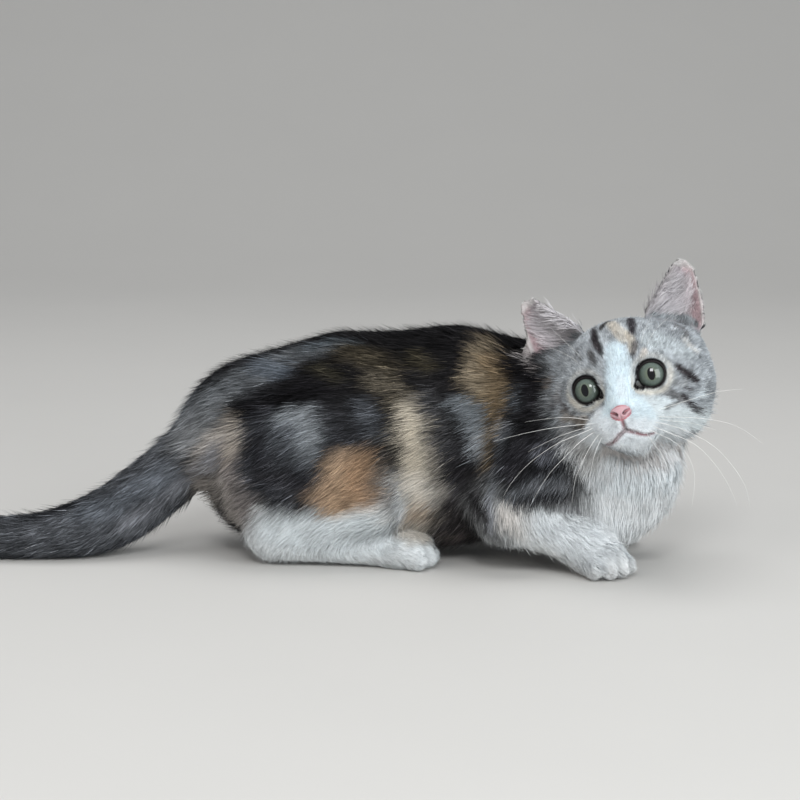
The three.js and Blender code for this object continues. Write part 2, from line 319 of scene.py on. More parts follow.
def addMix(nodes, links, factor, first, second):
    mix = nodes.new("ShaderNodeMix")
    mix.data_type = "RGBA"
    for socket, value in ((0, factor), (6, first), (7, second)):
        if hasattr(value, "is_output"):
            links.new(value, mix.inputs[socket])
        elif socket == 0:
            mix.inputs[0].default_value = value
        else:
            mix.inputs[socket].default_value = (*value[:3], 1)
    return mix.outputs[2]


def addMath(nodes, links, operation, a, b=None):
    node = nodes.new("ShaderNodeMath")
    node.operation = operation
    for i, value in enumerate((a, b)):
        if value is None:
            continue
        if hasattr(value, "is_output"):
            links.new(value, node.inputs[i])
        else:
            node.inputs[i].default_value = value
    return node.outputs[0]


def addRange(nodes, links, value, low, high, toLow, toHigh):
    node = nodes.new("ShaderNodeMapRange")
    links.new(value, node.inputs["Value"])
    for name, number in (("From Min", low), ("From Max", high), ("To Min", toLow), ("To Max", toHigh)):
        node.inputs[name].default_value = number
    return node.outputs["Result"]


def addRelief(nodes, links, shader, height, strength, depth):  # depth in metres
    relief = nodes.new("ShaderNodeBump")
    relief.inputs["Strength"].default_value = strength
    relief.inputs["Distance"].default_value = depth
    links.new(height, relief.inputs["Height"])
    links.new(relief.outputs["Normal"], shader.inputs["Normal"])


def addTones(nodes, links, shader, noise, first, second, smooth, rough):
    # two screen colours and a span of roughness, mixed by the same noise
    mix = addMix(nodes, links, noise.outputs["Fac"], linear(first), linear(second))
    links.new(mix, shader.inputs["Base Color"])
    rubbed = addRange(nodes, links, noise.outputs["Fac"], 0.3, 0.7, smooth, rough)
    links.new(rubbed, shader.inputs["Roughness"])


def hairGroup():
    # Colour, roughness and height of hair, shared by the skin and every piece of the coat.
    group = bpy.data.node_groups.new("hairVariation", "ShaderNodeTree")
    for name, kind, direction in (
        ("Tone", "NodeSocketColor", "INPUT"),
        ("Mottle", "NodeSocketFloat", "INPUT"),
        ("Tone", "NodeSocketColor", "OUTPUT"),
        ("Roughness", "NodeSocketFloat", "OUTPUT"),
        ("Height", "NodeSocketFloat", "OUTPUT"),
    ):
        group.interface.new_socket(name=name, in_out=direction, socket_type=kind)
    nodes, links = group.nodes, group.links
    source = nodes.new("NodeGroupInput")
    sink = nodes.new("NodeGroupOutput")
    broad = addNoise(nodes, links, 120, 4)
    fine = addNoise(nodes, links, 1400, 2, (0.35, 1, 1))
    shade = addRange(nodes, links, broad.outputs["Fac"], 0.3, 0.7, 0.82, 1.14)
    grain = addRange(nodes, links, fine.outputs["Fac"], 0.3, 0.7, 0.9, 1.08)
    both = addMath(nodes, links, "MULTIPLY", shade, grain)
    spread = addMath(nodes, links, "SUBTRACT", both, 1.0)
    scaled = addMath(nodes, links, "MULTIPLY", spread, source.outputs["Mottle"])
    factor = addMath(nodes, links, "ADD", scaled, 1.0)
    scale = nodes.new("ShaderNodeVectorMath")
    scale.operation = "SCALE"
    links.new(source.outputs["Tone"], scale.inputs[0])
    links.new(factor, scale.inputs["Scale"])
    links.new(scale.outputs["Vector"], sink.inputs["Tone"])
    rubbed = addRange(nodes, links, broad.outputs["Fac"], 0.3, 0.7, 0.52, 0.7)
    links.new(rubbed, sink.inputs["Roughness"])
    links.new(fine.outputs["Fac"], sink.inputs["Height"])
    return group


def hairMaterial(name, mottle, relief):
    material, shader, nodes, links = newMaterial(name, 0.6)
    tone = nodes.new("ShaderNodeAttribute")
    tone.attribute_name = "coatTone"
    group = nodes.new("ShaderNodeGroup")
    group.node_tree = hairShade
    group.inputs["Mottle"].default_value = mottle
    links.new(tone.outputs["Color"], group.inputs["Tone"])
    links.new(group.outputs["Tone"], shader.inputs["Base Color"])
    links.new(group.outputs["Roughness"], shader.inputs["Roughness"])
    addRelief(nodes, links, shader, group.outputs["Height"], relief, 0.0003)
    shader.inputs["Specular IOR Level"].default_value = 0.1
    return material


# Masses of the body


def ball(place, radii):
    place, radii = np.array(place, float), np.array(radii, float)

    def distance(points):
        q = (points - place) / radii
        near = np.sqrt((q * q).sum(1))
        q /= radii
        return near * (near - 1) / np.maximum(np.sqrt((q * q).sum(1)), 1e-9)

    return distance


def limb(start, end, radiusStart, radiusEnd):
    start, along = np.array(start, float), np.array(end, float) - np.array(start, float)

    def distance(points):
        q = points - start
        t = np.clip(q @ along / (along @ along), 0, 1)
        q = q - t[:, None] * along
        return np.sqrt((q * q).sum(1)) - radiusStart - (radiusEnd - radiusStart) * t

    return distance


def turned(degrees, place, mass):
    c, s = math.cos(math.radians(degrees)), math.sin(math.radians(degrees))
    place = np.array(place, float)

    def distance(points):
        q = points - place
        return mass(np.stack([c * q[:, 0] + s * q[:, 1], c * q[:, 1] - s * q[:, 0], q[:, 2]], 1))

    return distance


def smoothJoin(a, b, width):
    h = np.maximum(width - np.abs(a - b), 0)
    return np.minimum(a, b) - h * h / (4 * width)


legs = {
    "right": {
        "shoulder": (62, -34, 47), "elbow": (45, -43, 27), "wrist": (77, -46, 15),
        "forepaw": (86.5, -50, 7.6), "forepawYaw": -58,
        "hip": (-38, -26, 42), "knee": (-10, -33, 28), "hock": (-55, -27, 13.5),
        "hindpaw": (2, -34, 7.6), "hindpawYaw": -8,
    },
    "left": {
        "shoulder": (62, 18, 47), "elbow": (48, 28, 27), "wrist": (84, 16, 14),
        "forepaw": (94, 10, 7.6), "forepawYaw": -12,
        "hip": (-38, 26, 42), "knee": (-10, 33, 28), "hock": (-55, 27, 13.5),
        "hindpaw": (2, 36, 7.6), "hindpawYaw": 8,
    },
}
tailBends = np.array([
    (-80, 0, 54), (-104, -3, 34), (-128, -10, 17), (-152, -17, 11),
    (-180, -17, 9.3), (-206, -10, 8.4), (-226, 0, 7.2),
])
tailSteps = 20
toes = {  # each toe by its step from the foot's axis, and the creases between them
    "steps": (-1.5, -0.5, 0.5, 1.5), "ahead": 9, "curve": 1.5, "spread": 5.6, "drop": 2.4, "turn": 9,
    "radii": (6.5, 4.1, 5.4), "crease": 0.35, "width": 0.9,
}


def toeOffset(step):  # along the foot, across it and up from its middle
    return toes["ahead"] - toes["curve"] * step**2, step * toes["spread"], -toes["drop"]


def pawMasses(place, yaw):
    masses = [(5, turned(yaw, place, ball((0, 0, 0), (13, 12, 8.8))))]
    for step in toes["steps"]:
        toe = turned(toes["turn"] * step, toeOffset(step), ball((0, 0, 0), toes["radii"]))
        masses.append((1.5, turned(yaw, place, toe)))
    return masses


def tailPoint(t):  # a smooth centripetal curve through the bends
    padded = np.vstack([2 * tailBends[0] - tailBends[1], tailBends, 2 * tailBends[-1] - tailBends[-2]])
    last = len(tailBends) - 1
    i = min(int(t * last), last - 1)
    w = t * last - i
    p = padded[i : i + 4]
    k = np.cumsum([0] + [np.linalg.norm(p[j + 1] - p[j]) ** 0.5 for j in range(3)])
    u = k[1] + w * (k[2] - k[1])

    def between(first, second, low, high):
        return (high - u) / (high - low) * first + (u - low) / (high - low) * second

    a = [between(p[j], p[j + 1], k[j], k[j + 1]) for j in range(3)]
    b = [between(a[j], a[j + 1], k[j], k[j + 2]) for j in range(2)]
    return between(b[0], b[1], k[1], k[2])


def tailRadius(t):
    return 13.8 - 4.4 * float(ramp(np.array(t), 0.28, 0.6)) - 3 * t**5


tailLine = np.array([tailPoint(i / tailSteps) for i in range(tailSteps + 1)])


def buildMasses():
    parts = {
        "rump": [(12, ball((-62, 0, 53), (36, 32, 35))), (8, ball((-62, 0, 25), (21, 30, 19)))],
        "loin": [(16, ball((-22, 0, 55), (48, 41, 44.5)))],
        "ribs": [(16, ball((24, -3, 57.5), (48, 43, 45)))],
        "belly": [(12, ball((14, -2, 33), (54, 38, 31)))],
        "shoulders": [(14, ball((60, -10, 56), (32, 39, 38)))],
        "breast": [(12, ball((89.5, -22, 42), (35, 33, 35))), (12, ball((101, -42, 50), (20, 19, 16)))],
        "neck": [(12, limb((70, -8, 63), (101, -16, 69), 29, 27))],
    }
    for side, leg in legs.items():
        parts["thigh_" + side] = [(12, ball(leg["hip"], (38, 21, 33)))]
        parts["shin_" + side] = [(8, limb(leg["knee"], leg["hock"], 15, 11.5))]
        parts["foot_" + side] = [(7, limb(leg["hock"], leg["hindpaw"], 11.5, 8.5))]
        parts["hindpaw_" + side] = pawMasses(leg["hindpaw"], leg["hindpawYaw"])
    for side, leg in legs.items():
        parts["arm_" + side] = [(12, limb(leg["shoulder"], leg["elbow"], 22, 15))]
        parts["forearm_" + side] = [
            (8, limb(leg["elbow"], leg["wrist"], 13.5, 10.5)),
            (7, limb(leg["wrist"], leg["forepaw"], 10.5, 9)),
        ]
        parts["forepaw_" + side] = pawMasses(leg["forepaw"], leg["forepawYaw"])
    radii = [tailRadius(i / tailSteps) for i in range(tailSteps + 1)]
    parts["tail"] = [
        (12 if i == 0 else 5, limb(tailLine[i], tailLine[i + 1], radii[i], radii[i + 1]))
        for i in range(tailSteps)
    ]
    return parts


bodyParts = buildMasses()

# Masses of the head


def pair(place, radii, blend):
    x, y, z = place
    return [(blend, ball((x, sign * y, z), radii)) for sign in (-1, 1)]


headMasses = (
    [(10, ball((-7, 0, 4), (29, 29, 24))), (9, ball((8, 0, 9), (14, 21, 15)))]
    + pair((-1, 19.5, -5), (19, 18.5, 17), 9)
    + pair((-2, 17.5, -18), (14, 14, 12), 9)
    + pair((-9, 25.5, 6), (11, 9, 10), 8)
    + pair((11, 13.5, -16), (12, 11.5, 9.5), 8)
    + pair((-7, 23.5, 10), (8, 7.5, 8), 8)
    + [(9, limb((14, 0, 2), (29, 0, -12), 9.5, 5.5))]
    + pair((22, 6, -18.5), (10.5, 9.5, 7.5), 8)
    + [(7, ball((21, 0, -25.5), (9.5, 8.5, 6)))]
    + pair(eyeCentre(1), (9.5, 9.5, 9.5), 4)
)


def headDistance(points):
    own = toHead(points)
    total = None
    for blend, mass in headMasses:
        d = mass(own)
        total = d if total is None else smoothJoin(total, d, blend)
    return total


def partDistances(points):  # to the whole kitten, and to each part
    total, near = None, {}
    for part, masses in bodyParts.items():
        for blend, mass in masses:
            d = mass(points)
            total = d if total is None else smoothJoin(total, d, blend)
            near[part] = np.minimum(near[part], d) if part in near else d
    head = headDistance(points)
    near["head"] = head
    return smoothJoin(total, head, 9), near


def kittenDistance(points):
    return partDistances(points)[0]


# The coat over each part, in millimetres: how deep it stands, how long its hairs are, their width, their
# number to the square millimetre, how far tufts draw together, and the share of hairs that stand out.
coat = {
    "rump": (5.6, 12.5, 0.23, 5.2, 0.24, 0.12),
    "loin": (5.2, 11.5, 0.23, 5.1, 0.22, 0.06),
    "ribs": (5.2, 11.5, 0.23, 5.1, 0.24, 0.06),
    "belly": (5.2, 11.5, 0.23, 4.1, 0.26, 0.07),
    "shoulders": (5, 11.5, 0.24, 4.8, 0.27, 0.06),
    "breast": (5.5, 10.5, 0.23, 5.4, 0.22, 0.07),
    "neck": (5, 9, 0.24, 5.0, 0.24, 0.03),
    "thigh": (4.8, 11, 0.24, 5.2, 0.26, 0.07),
    "shin": (4, 8.5, 0.23, 5.6, 0.22, 0.06),
    "foot": (3, 5.5, 0.21, 7, 0.2, 0.03),
    "hindpaw": (1.6, 2.8, 0.18, 10, 0.14, 0.0),
    "arm": (4.4, 9, 0.24, 5.0, 0.28, 0.05),
    "forearm": (3.2, 7, 0.23, 6.4, 0.22, 0.04),
    "forepaw": (1.8, 3.2, 0.18, 10, 0.14, 0.0),
    "tail": (4.4, 11, 0.23, 5.0, 0.26, 0.06),
    "head": (2.2, 5.0, 0.21, 10.2, 0.22, 0.015),
}
coatMeasures = ("depth", "length", "width", "number", "pull", "stray")
faceCoat = {  # millimetres at a place, or shares that the face changes
    "thinner": 0.45, "shorter": 0.42, "narrower": 0.2, "denser": 0.35,
    "lidDepth": 0.45, "lidLength": 1.7, "muzzleDepth": 0.8, "muzzleShorter": 0.25, "atLips": 0.3,
    "ruffDepth": 1.2, "ruffLength": 4.5, "ruffPull": 0.12, "ruffStray": 0.06,
    "chinLength": 4.5, "chinStray": 0.15,
}
partReach = {"paw": 3.0, "other": 4.5}  # how far each part's coat runs into the next


def sharesAt(points):  # how much each part has to say at each point
    near = partDistances(points)[1]
    names = list(near)
    distances = np.stack([near[n] for n in names], 1)
    reach = np.array([partReach["paw" if "paw" in n else "other"] for n in names])
    shares = np.exp(-(distances - distances.min(1, keepdims=True)) / reach)
    return names, shares / shares.sum(1, keepdims=True)


def coatValues(names, shares, own):  # each measure of the coat at each point
    table = np.array([coat[n.split("_")[0]] for n in names])
    fields = dict(zip(coatMeasures, (shares @ table).T))
    # Shorter over the face, shortest round the eyes, nose and mouth, and long in the ruff under the cheeks.
    forward, up = own[:, 0], own[:, 2]
    isHead = shares[:, names.index("head")]
    face = isHead * ramp(forward, 2, 20)
    muzzle = isHead * ramp(forward, 20, 29)
    lids = isHead * (1 - ramp(eyeDistance(own), 9, 14.5))
    ruff = isHead * ramp(-up, 6, 20) * ramp(np.abs(own[:, 1]), 13, 22) * (1 - ramp(forward, 14, 22))
    fromMouth = mouthDistance(own)
    chin = isHead * ramp(-up, 22, 31) * ramp(forward, -4, 8) * ramp(fromMouth, 3, 7)
    lips = mixed(1, ramp(fromMouth, 0.7, 5.5), isHead)
    kept = faceCoat["atLips"] + (1 - faceCoat["atLips"]) * lips
    depth = mixed(fields["depth"] * (1 - faceCoat["thinner"] * face), faceCoat["lidDepth"], lids)
    depth = mixed(depth, faceCoat["muzzleDepth"], muzzle) + faceCoat["ruffDepth"] * ruff
    length = fields["length"] * (1 - faceCoat["shorter"] * face) * (1 - faceCoat["muzzleShorter"] * muzzle)
    length = mixed(length, faceCoat["lidLength"], lids)
    length = length + faceCoat["ruffLength"] * ruff + faceCoat["chinLength"] * chin
    fields["depth"] = depth * kept
    fields["length"] = length * kept
    fields["width"] = fields["width"] * (1 - faceCoat["narrower"] * face)
    fields["number"] = fields["number"] * (1 + faceCoat["denser"] * face)
    fields["pull"] = fields["pull"] + faceCoat["ruffPull"] * ruff
    fields["stray"] = fields["stray"] + faceCoat["chinStray"] * chin + faceCoat["ruffStray"] * ruff
    return fields


def eyeDistance(own):  # to the nearer eye's centre
    return np.minimum(*[np.linalg.norm(own - eyeCentre(sign), axis=1) for sign in (-1, 1)])


# Ears

ear = {
    "height": 29.5, "halfWidth": 15.2, "splay": 24.8, "turnOut": 11, "bow": 1.7, "root": (0, 23.5, 18.5),
    "buried": 9, "reach": 4.5, "rows": 70, "columns": 56,
}


def earSheet(sign, height, across):
    # The ear's middle surface in the head's frame: height from 0 to 1, across from -1 to 1.
    width = ear["halfWidth"] * np.cos(1.5 * np.maximum(0, height - 0.16) ** 0.92)
    bend = np.radians(74 - 26 * height) * across
    back = width * (1 - 0.4 * height) * (np.cos(bend) - 0.3)
    reach = (ear["height"] + ear["buried"]) * height - ear["buried"]
    x, y, z = -back, width * np.sin(bend) + sign * ear["bow"] * 4 * height * (1 - height), reach
    a, b = math.radians(sign * ear["turnOut"]), math.radians(-sign * ear["splay"])
    x, y = math.cos(a) * x - math.sin(a) * y, math.sin(a) * x + math.cos(a) * y
    y, z = math.cos(b) * y - math.sin(b) * z, math.sin(b) * y + math.cos(b) * z
    root = ear["root"]
    return np.stack([x + root[0], y + sign * root[1], z + root[2]], -1)


def earGrid(sign):
    rows, columns = np.linspace(0, 1, ear["rows"]), np.linspace(-1, 1, ear["columns"])
    heights, acrosses = np.meshgrid(rows, columns, indexing="ij")
    return earSheet(sign, heights, acrosses).reshape(-1, 3), heights.ravel(), acrosses.ravel()


# The skin

fleshNodes = [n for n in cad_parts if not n.startswith(("eye_", "nose"))]
skinLook = {  # millimetres
    "voxel": 1.4, "fatten": 0.45, "earHalfThickness": 0.75, "lowest": 0.4,
    "lipSwell": 0.25, "socketDepth": 0.5, "socketRadius": 12.2,
}


def joinedCopies(nodeNames, name):
    bpy.ops.object.select_all(action="DESELECT")
    for nodeName in nodeNames:
        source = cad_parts[nodeName]
        copy = link(nodeName + "Copy", source.data.copy())
        copy.select_set(True)
        bpy.context.view_layer.objects.active = copy
    bpy.ops.object.join()
    joined = bpy.context.object
    joined.name = joined.data.name = name
    bpy.ops.object.mode_set(mode="EDIT")
    bpy.ops.mesh.select_all(action="SELECT")
    bpy.ops.mesh.remove_doubles(threshold=1e-5)
    bpy.ops.object.mode_set(mode="OBJECT")
    joined.data.materials.clear()
    return joined


def slopeOf(distance, points, start):
    step = 0.25
    slope = np.empty_like(points)
    for axis in range(3):
        moved = points.copy()
        moved[:, axis] += step
        slope[:, axis] = (distance(moved) - start) / step
    return slope


def settle(points, depth, rounds):  # moves points onto the surface that lies depth below the coat's tips
    for _ in range(rounds):
        d = kittenDistance(points)
        slope = slopeOf(kittenDistance, points, d)
        move = np.clip(d + depth, -3, 3) / np.maximum((slope * slope).sum(1), 0.2)  # at most 3 mm a round
        points = points - move[:, None] * slope
    return points


def earPlaces(points):  # for each point its share of ear and its place on the ear's sheet
    own = toHead(points)
    count = len(points)
    at = {key: np.zeros(count) for key in ("share", "height", "aside", "sign")}
    at["sheet"] = np.zeros((count, 3))
    outside = headDistance(points)
    for sign in (-1, 1):
        sheet, heights, acrosses = earGrid(sign)
        tree = KDTree(len(sheet))
        for i, p in enumerate(sheet):
            tree.insert(p, i)
        tree.balance()
        besideCrown = (own[:, 1] * sign > 6) & (own[:, 2] > 5) & (outside > -2.5)
        for i in np.where(besideCrown)[0]:
            _, k, gap = tree.find(own[i])
            if gap < ear["reach"]:
                stands = ramp(outside[i], -1.0, 4.0)  # from the head's own surface outwards
                at["share"][i] = stands * (1 - ramp(gap, ear["reach"] - 1.1, ear["reach"] - 0.1))
                at["sheet"][i] = sheet[k]
                at["height"][i] = heights[k]
                at["aside"][i] = acrosses[k] * sign
                at["sign"][i] = sign
    return at


def refine(piece, chosen):  # splits the chosen faces
    activate(piece)
    mesh = piece.data
    bpy.ops.object.mode_set(mode="EDIT")
    bpy.ops.mesh.select_mode(type="FACE")
    bpy.ops.mesh.select_all(action="DESELECT")
    bpy.ops.object.mode_set(mode="OBJECT")
    mesh.polygons.foreach_set("select", chosen)
    bpy.ops.object.mode_set(mode="EDIT")
    bpy.ops.mesh.subdivide(number_cuts=1, smoothness=0)
    bpy.ops.object.mode_set(mode="OBJECT")


def faceCentres(mesh):
    flat = np.empty(len(mesh.polygons) * 3)
    mesh.polygons.foreach_get("center", flat)
    return fromRow(flat.reshape(-1, 3))


mouth = {  # the line of the mouth in the head's frame, from the nose to its left corner
    "line": [
        (33.4, 0, -18), (32.8, 0, -21.8), (31.7, 3.6, -23.7),
        (30, 5.7, -25), (27.5, 8.6, -25.7), (25.5, 10, -25.5),
    ],
    "depth": 1.3, "width": 0.7,
}


def toePlace(place, yaw, step):  # the middle of a toe
    ahead, aside, up = toeOffset(step)
    c, s = math.cos(math.radians(yaw)), math.sin(math.radians(yaw))
    return np.array([place[0] + c * ahead - s * aside, place[1] + s * ahead + c * aside, place[2] + up])


def toeGap(points):  # how far a point lies from the crease between its two nearest toes
    gap = np.full(len(points), 99.0)
    for leg in legs.values():
        for part in ("hindpaw", "forepaw"):
            yaw = leg[part + "Yaw"]
            middles = np.array([toePlace(leg[part], yaw, step) for step in toes["steps"]])
            near = np.where(np.linalg.norm(points - middles.mean(0), axis=1) < 17)[0]
            ordered = np.sort(np.linalg.norm(points[near, None] - middles[None], axis=2), axis=1)
            way = np.array([math.cos(math.radians(yaw)), math.sin(math.radians(yaw)), 0])
            ahead = (points[near] - np.array(leg[part], float)) @ way
            here = (ordered[:, 1] - ordered[:, 0]) / 2 + 3 * (1 - ramp(ahead, 5, 11))
            gap[near] = np.minimum(gap[near], here)
    return gap


def lineDistance(points, line, halfWidths=None):  # to a line, or to a band of the given half widths
    line = np.asarray(line, float)
    halfWidths = np.zeros(len(line)) if halfWidths is None else halfWidths
    best = np.full(len(points), 1e3)
    for a, b, ra, rb in zip(line[:-1], line[1:], halfWidths[:-1], halfWidths[1:]):
        along = b - a
        q = points - a
        t = np.clip(q @ along / (along @ along), 0, 1)
        best = np.minimum(best, np.linalg.norm(q - t[:, None] * along, axis=1) - ra - (rb - ra) * t)
    return best


def mouthDistance(own):
    mirrored = own * np.array([1, -1, 1])
    return np.minimum(lineDistance(own, mouth["line"]), lineDistance(mirrored, mouth["line"]))


def eyeFrame(sign):  # columns: out of the eye, outwards from the nose, up
    a = math.radians(sign * eye["turnOut"])
    forward = np.array([math.cos(a), math.sin(a), 0])
    outward = sign * np.array([-math.sin(a), math.cos(a), 0])
    return np.stack([forward, outward, np.array([0, 0, 1.0])], 1)


def turnFrom(angle, degrees):
    return np.angle(np.exp(1j * (angle - math.radians(degrees))))


def openingRadius(angle):  # of the lids' edge, by the angle from outwards towards up
    tear = bump(turnFrom(angle, 210), 0, 0.27)
    outer = bump(turnFrom(angle, 15), 0, 0.5)
    return eye["opening"] * (1 + 0.02 * outer + 0.02 * np.cos(2 * angle)) + eye["corner"] * tear


def seenFromEye(own, sign):
    # Each place in the eye's own frame, its distance from the centre, its angle round the gaze, and how far
    # from the gaze it would lie on the eyeball.
    local = (own - eyeCentre(sign)) @ eyeFrame(sign)
    reach = np.linalg.norm(local, axis=1)
    angle = np.arctan2(local[:, 2], local[:, 1])
    onBall = np.hypot(local[:, 1], local[:, 2]) / np.maximum(reach, 1e-6) * eye["radius"]
    return local, reach, angle, onBall


def openLids(own):  # sinks the skin below the eyeball inside each opening
    own = own.copy()
    sunk = eye["radius"] - 1.0
    for sign in (-1, 1):
        local, reach, angle, onBall = seenFromEye(own, sign)
        edge = openingRadius(angle)
        inside = (local[:, 0] > 0) & (reach < 14) & (onBall < edge + 0.9)
        wanted = mixed(sunk, reach, ramp(onBall, edge - 0.3, edge + 0.5))
        local[inside] *= (wanted / np.maximum(reach, 1e-6))[inside, None]
        own[inside] = (local @ eyeFrame(sign).T + eyeCentre(sign))[inside]
    return own


def relax(piece, rounds):
    smooth = piece.modifiers.new("relax", "SMOOTH")
    smooth.iterations = rounds
    smooth.factor = 0.5
    applyAll(piece)


def settleSkin(mesh, rounds):  # lays the skin under the coat, and the ears' skin round their middle sheets
    points = fromRow(readPoints(mesh))
    own = toHead(points)
    ears = earPlaces(points)
    share = ears["share"]
    names, shares = sharesAt(points)
    depth = coatValues(names, shares, own)["depth"]
    body = share < 0.98
    moved = points.copy()
    moved[body] = settle(points[body], depth[body], rounds)
    thinner = 0.55 + 0.45 * np.sqrt(np.maximum(0, 1 - ears["height"] ** 4))  # towards the ears' tips
    thick = skinLook["earHalfThickness"] * thinner
    onEar = ears["sheet"] + unit(own - ears["sheet"]) * thick[:, None]
    blended = mixed(toHead(moved), onEar, share)
    moved[share > 0] = fromHead(blended)[share > 0]
    writePoints(mesh, toRow(moved))


def headFaces(mesh):  # the faces at the front of the head and over the ears
    centres = faceCentres(mesh)
    own = toHead(centres)
    forward, aside, up = own[:, 0], np.abs(own[:, 1]), own[:, 2]
    front = (forward > 12) & (aside < 26) & (up < 14) & (up > -34)
    onEar = (up > 14) & (aside > 10) & (np.linalg.norm(own, axis=1) < 62) & (np.abs(forward) < 18)
    return front | onEar & (headDistance(centres) > 1.5)


def fineFaces(mesh):  # the faces round the lids, the mouth and the toes
    centres = faceCentres(mesh)
    own = toHead(centres)
    lids = (eyeDistance(own) < 10.5) & (own[:, 0] > eye["forward"] + 2)
    return lids | (mouthDistance(own) < 2.5) | (toeGap(centres) < 2.2)


def shapeDetails(mesh):  # the mouth, the eye sockets, the lids and the toes
    points = fromRow(readPoints(mesh))
    normals = readNormals(mesh)
    own = toHead(points)
    nearFace = np.where((own[:, 0] > 8) & (np.abs(own[:, 1]) < 30) & (headDistance(points) < 2))[0]
    face = own[nearFace]
    slope = normals[nearFace] @ headTurn
    gap = mouthDistance(face)
    socket = bump(eyeDistance(face), skinLook["socketRadius"], 2.2) * ramp(face[:, 0], 12, 18)
    lift = skinLook["lipSwell"] * bump(gap, 1.9, 0.9) - mouth["depth"] * bump(gap, 0, mouth["width"])
    lift = lift - skinLook["socketDepth"] * socket
    points[nearFace] = fromHead(openLids(face + slope * lift[:, None]))
    points -= normals * (toes["crease"] * bump(toeGap(points), 0, toes["width"]))[:, None]
    points[:, 2] = np.maximum(points[:, 2], skinLook["lowest"])
    writePoints(mesh, toRow(points))


def buildSkin():
    skin = joinedCopies(list(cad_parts), "kittenSkin")
    fatten = skin.modifiers.new("fatten", "DISPLACE")
    fatten.strength = skinLook["fatten"] * metre
    fatten.mid_level = 0
    remesh = skin.modifiers.new("voxels", "REMESH")
    remesh.mode = "VOXEL"
    remesh.voxel_size = skinLook["voxel"] * metre
    relax(skin, 4)
    print("skin remeshed:", len(skin.data.vertices), "points")
    settleSkin(skin.data, 3)
    relax(skin, 2)
    refine(skin, headFaces(skin.data))
    settleSkin(skin.data, 2)
    refine(skin, fineFaces(skin.data))
    shapeDetails(skin.data)
    faceOutwards(skin)
    bpy.ops.object.mode_set(mode="EDIT")
    bpy.ops.uv.smart_project(angle_limit=math.radians(66), island_margin=0.002)
    bpy.ops.object.mode_set(mode="OBJECT")
    skin.data.uv_layers.active.name = "OFBake"
    print("skin shaped:", len(skin.data.vertices), "points,", len(skin.data.polygons), "faces")
    return skin


# Markings

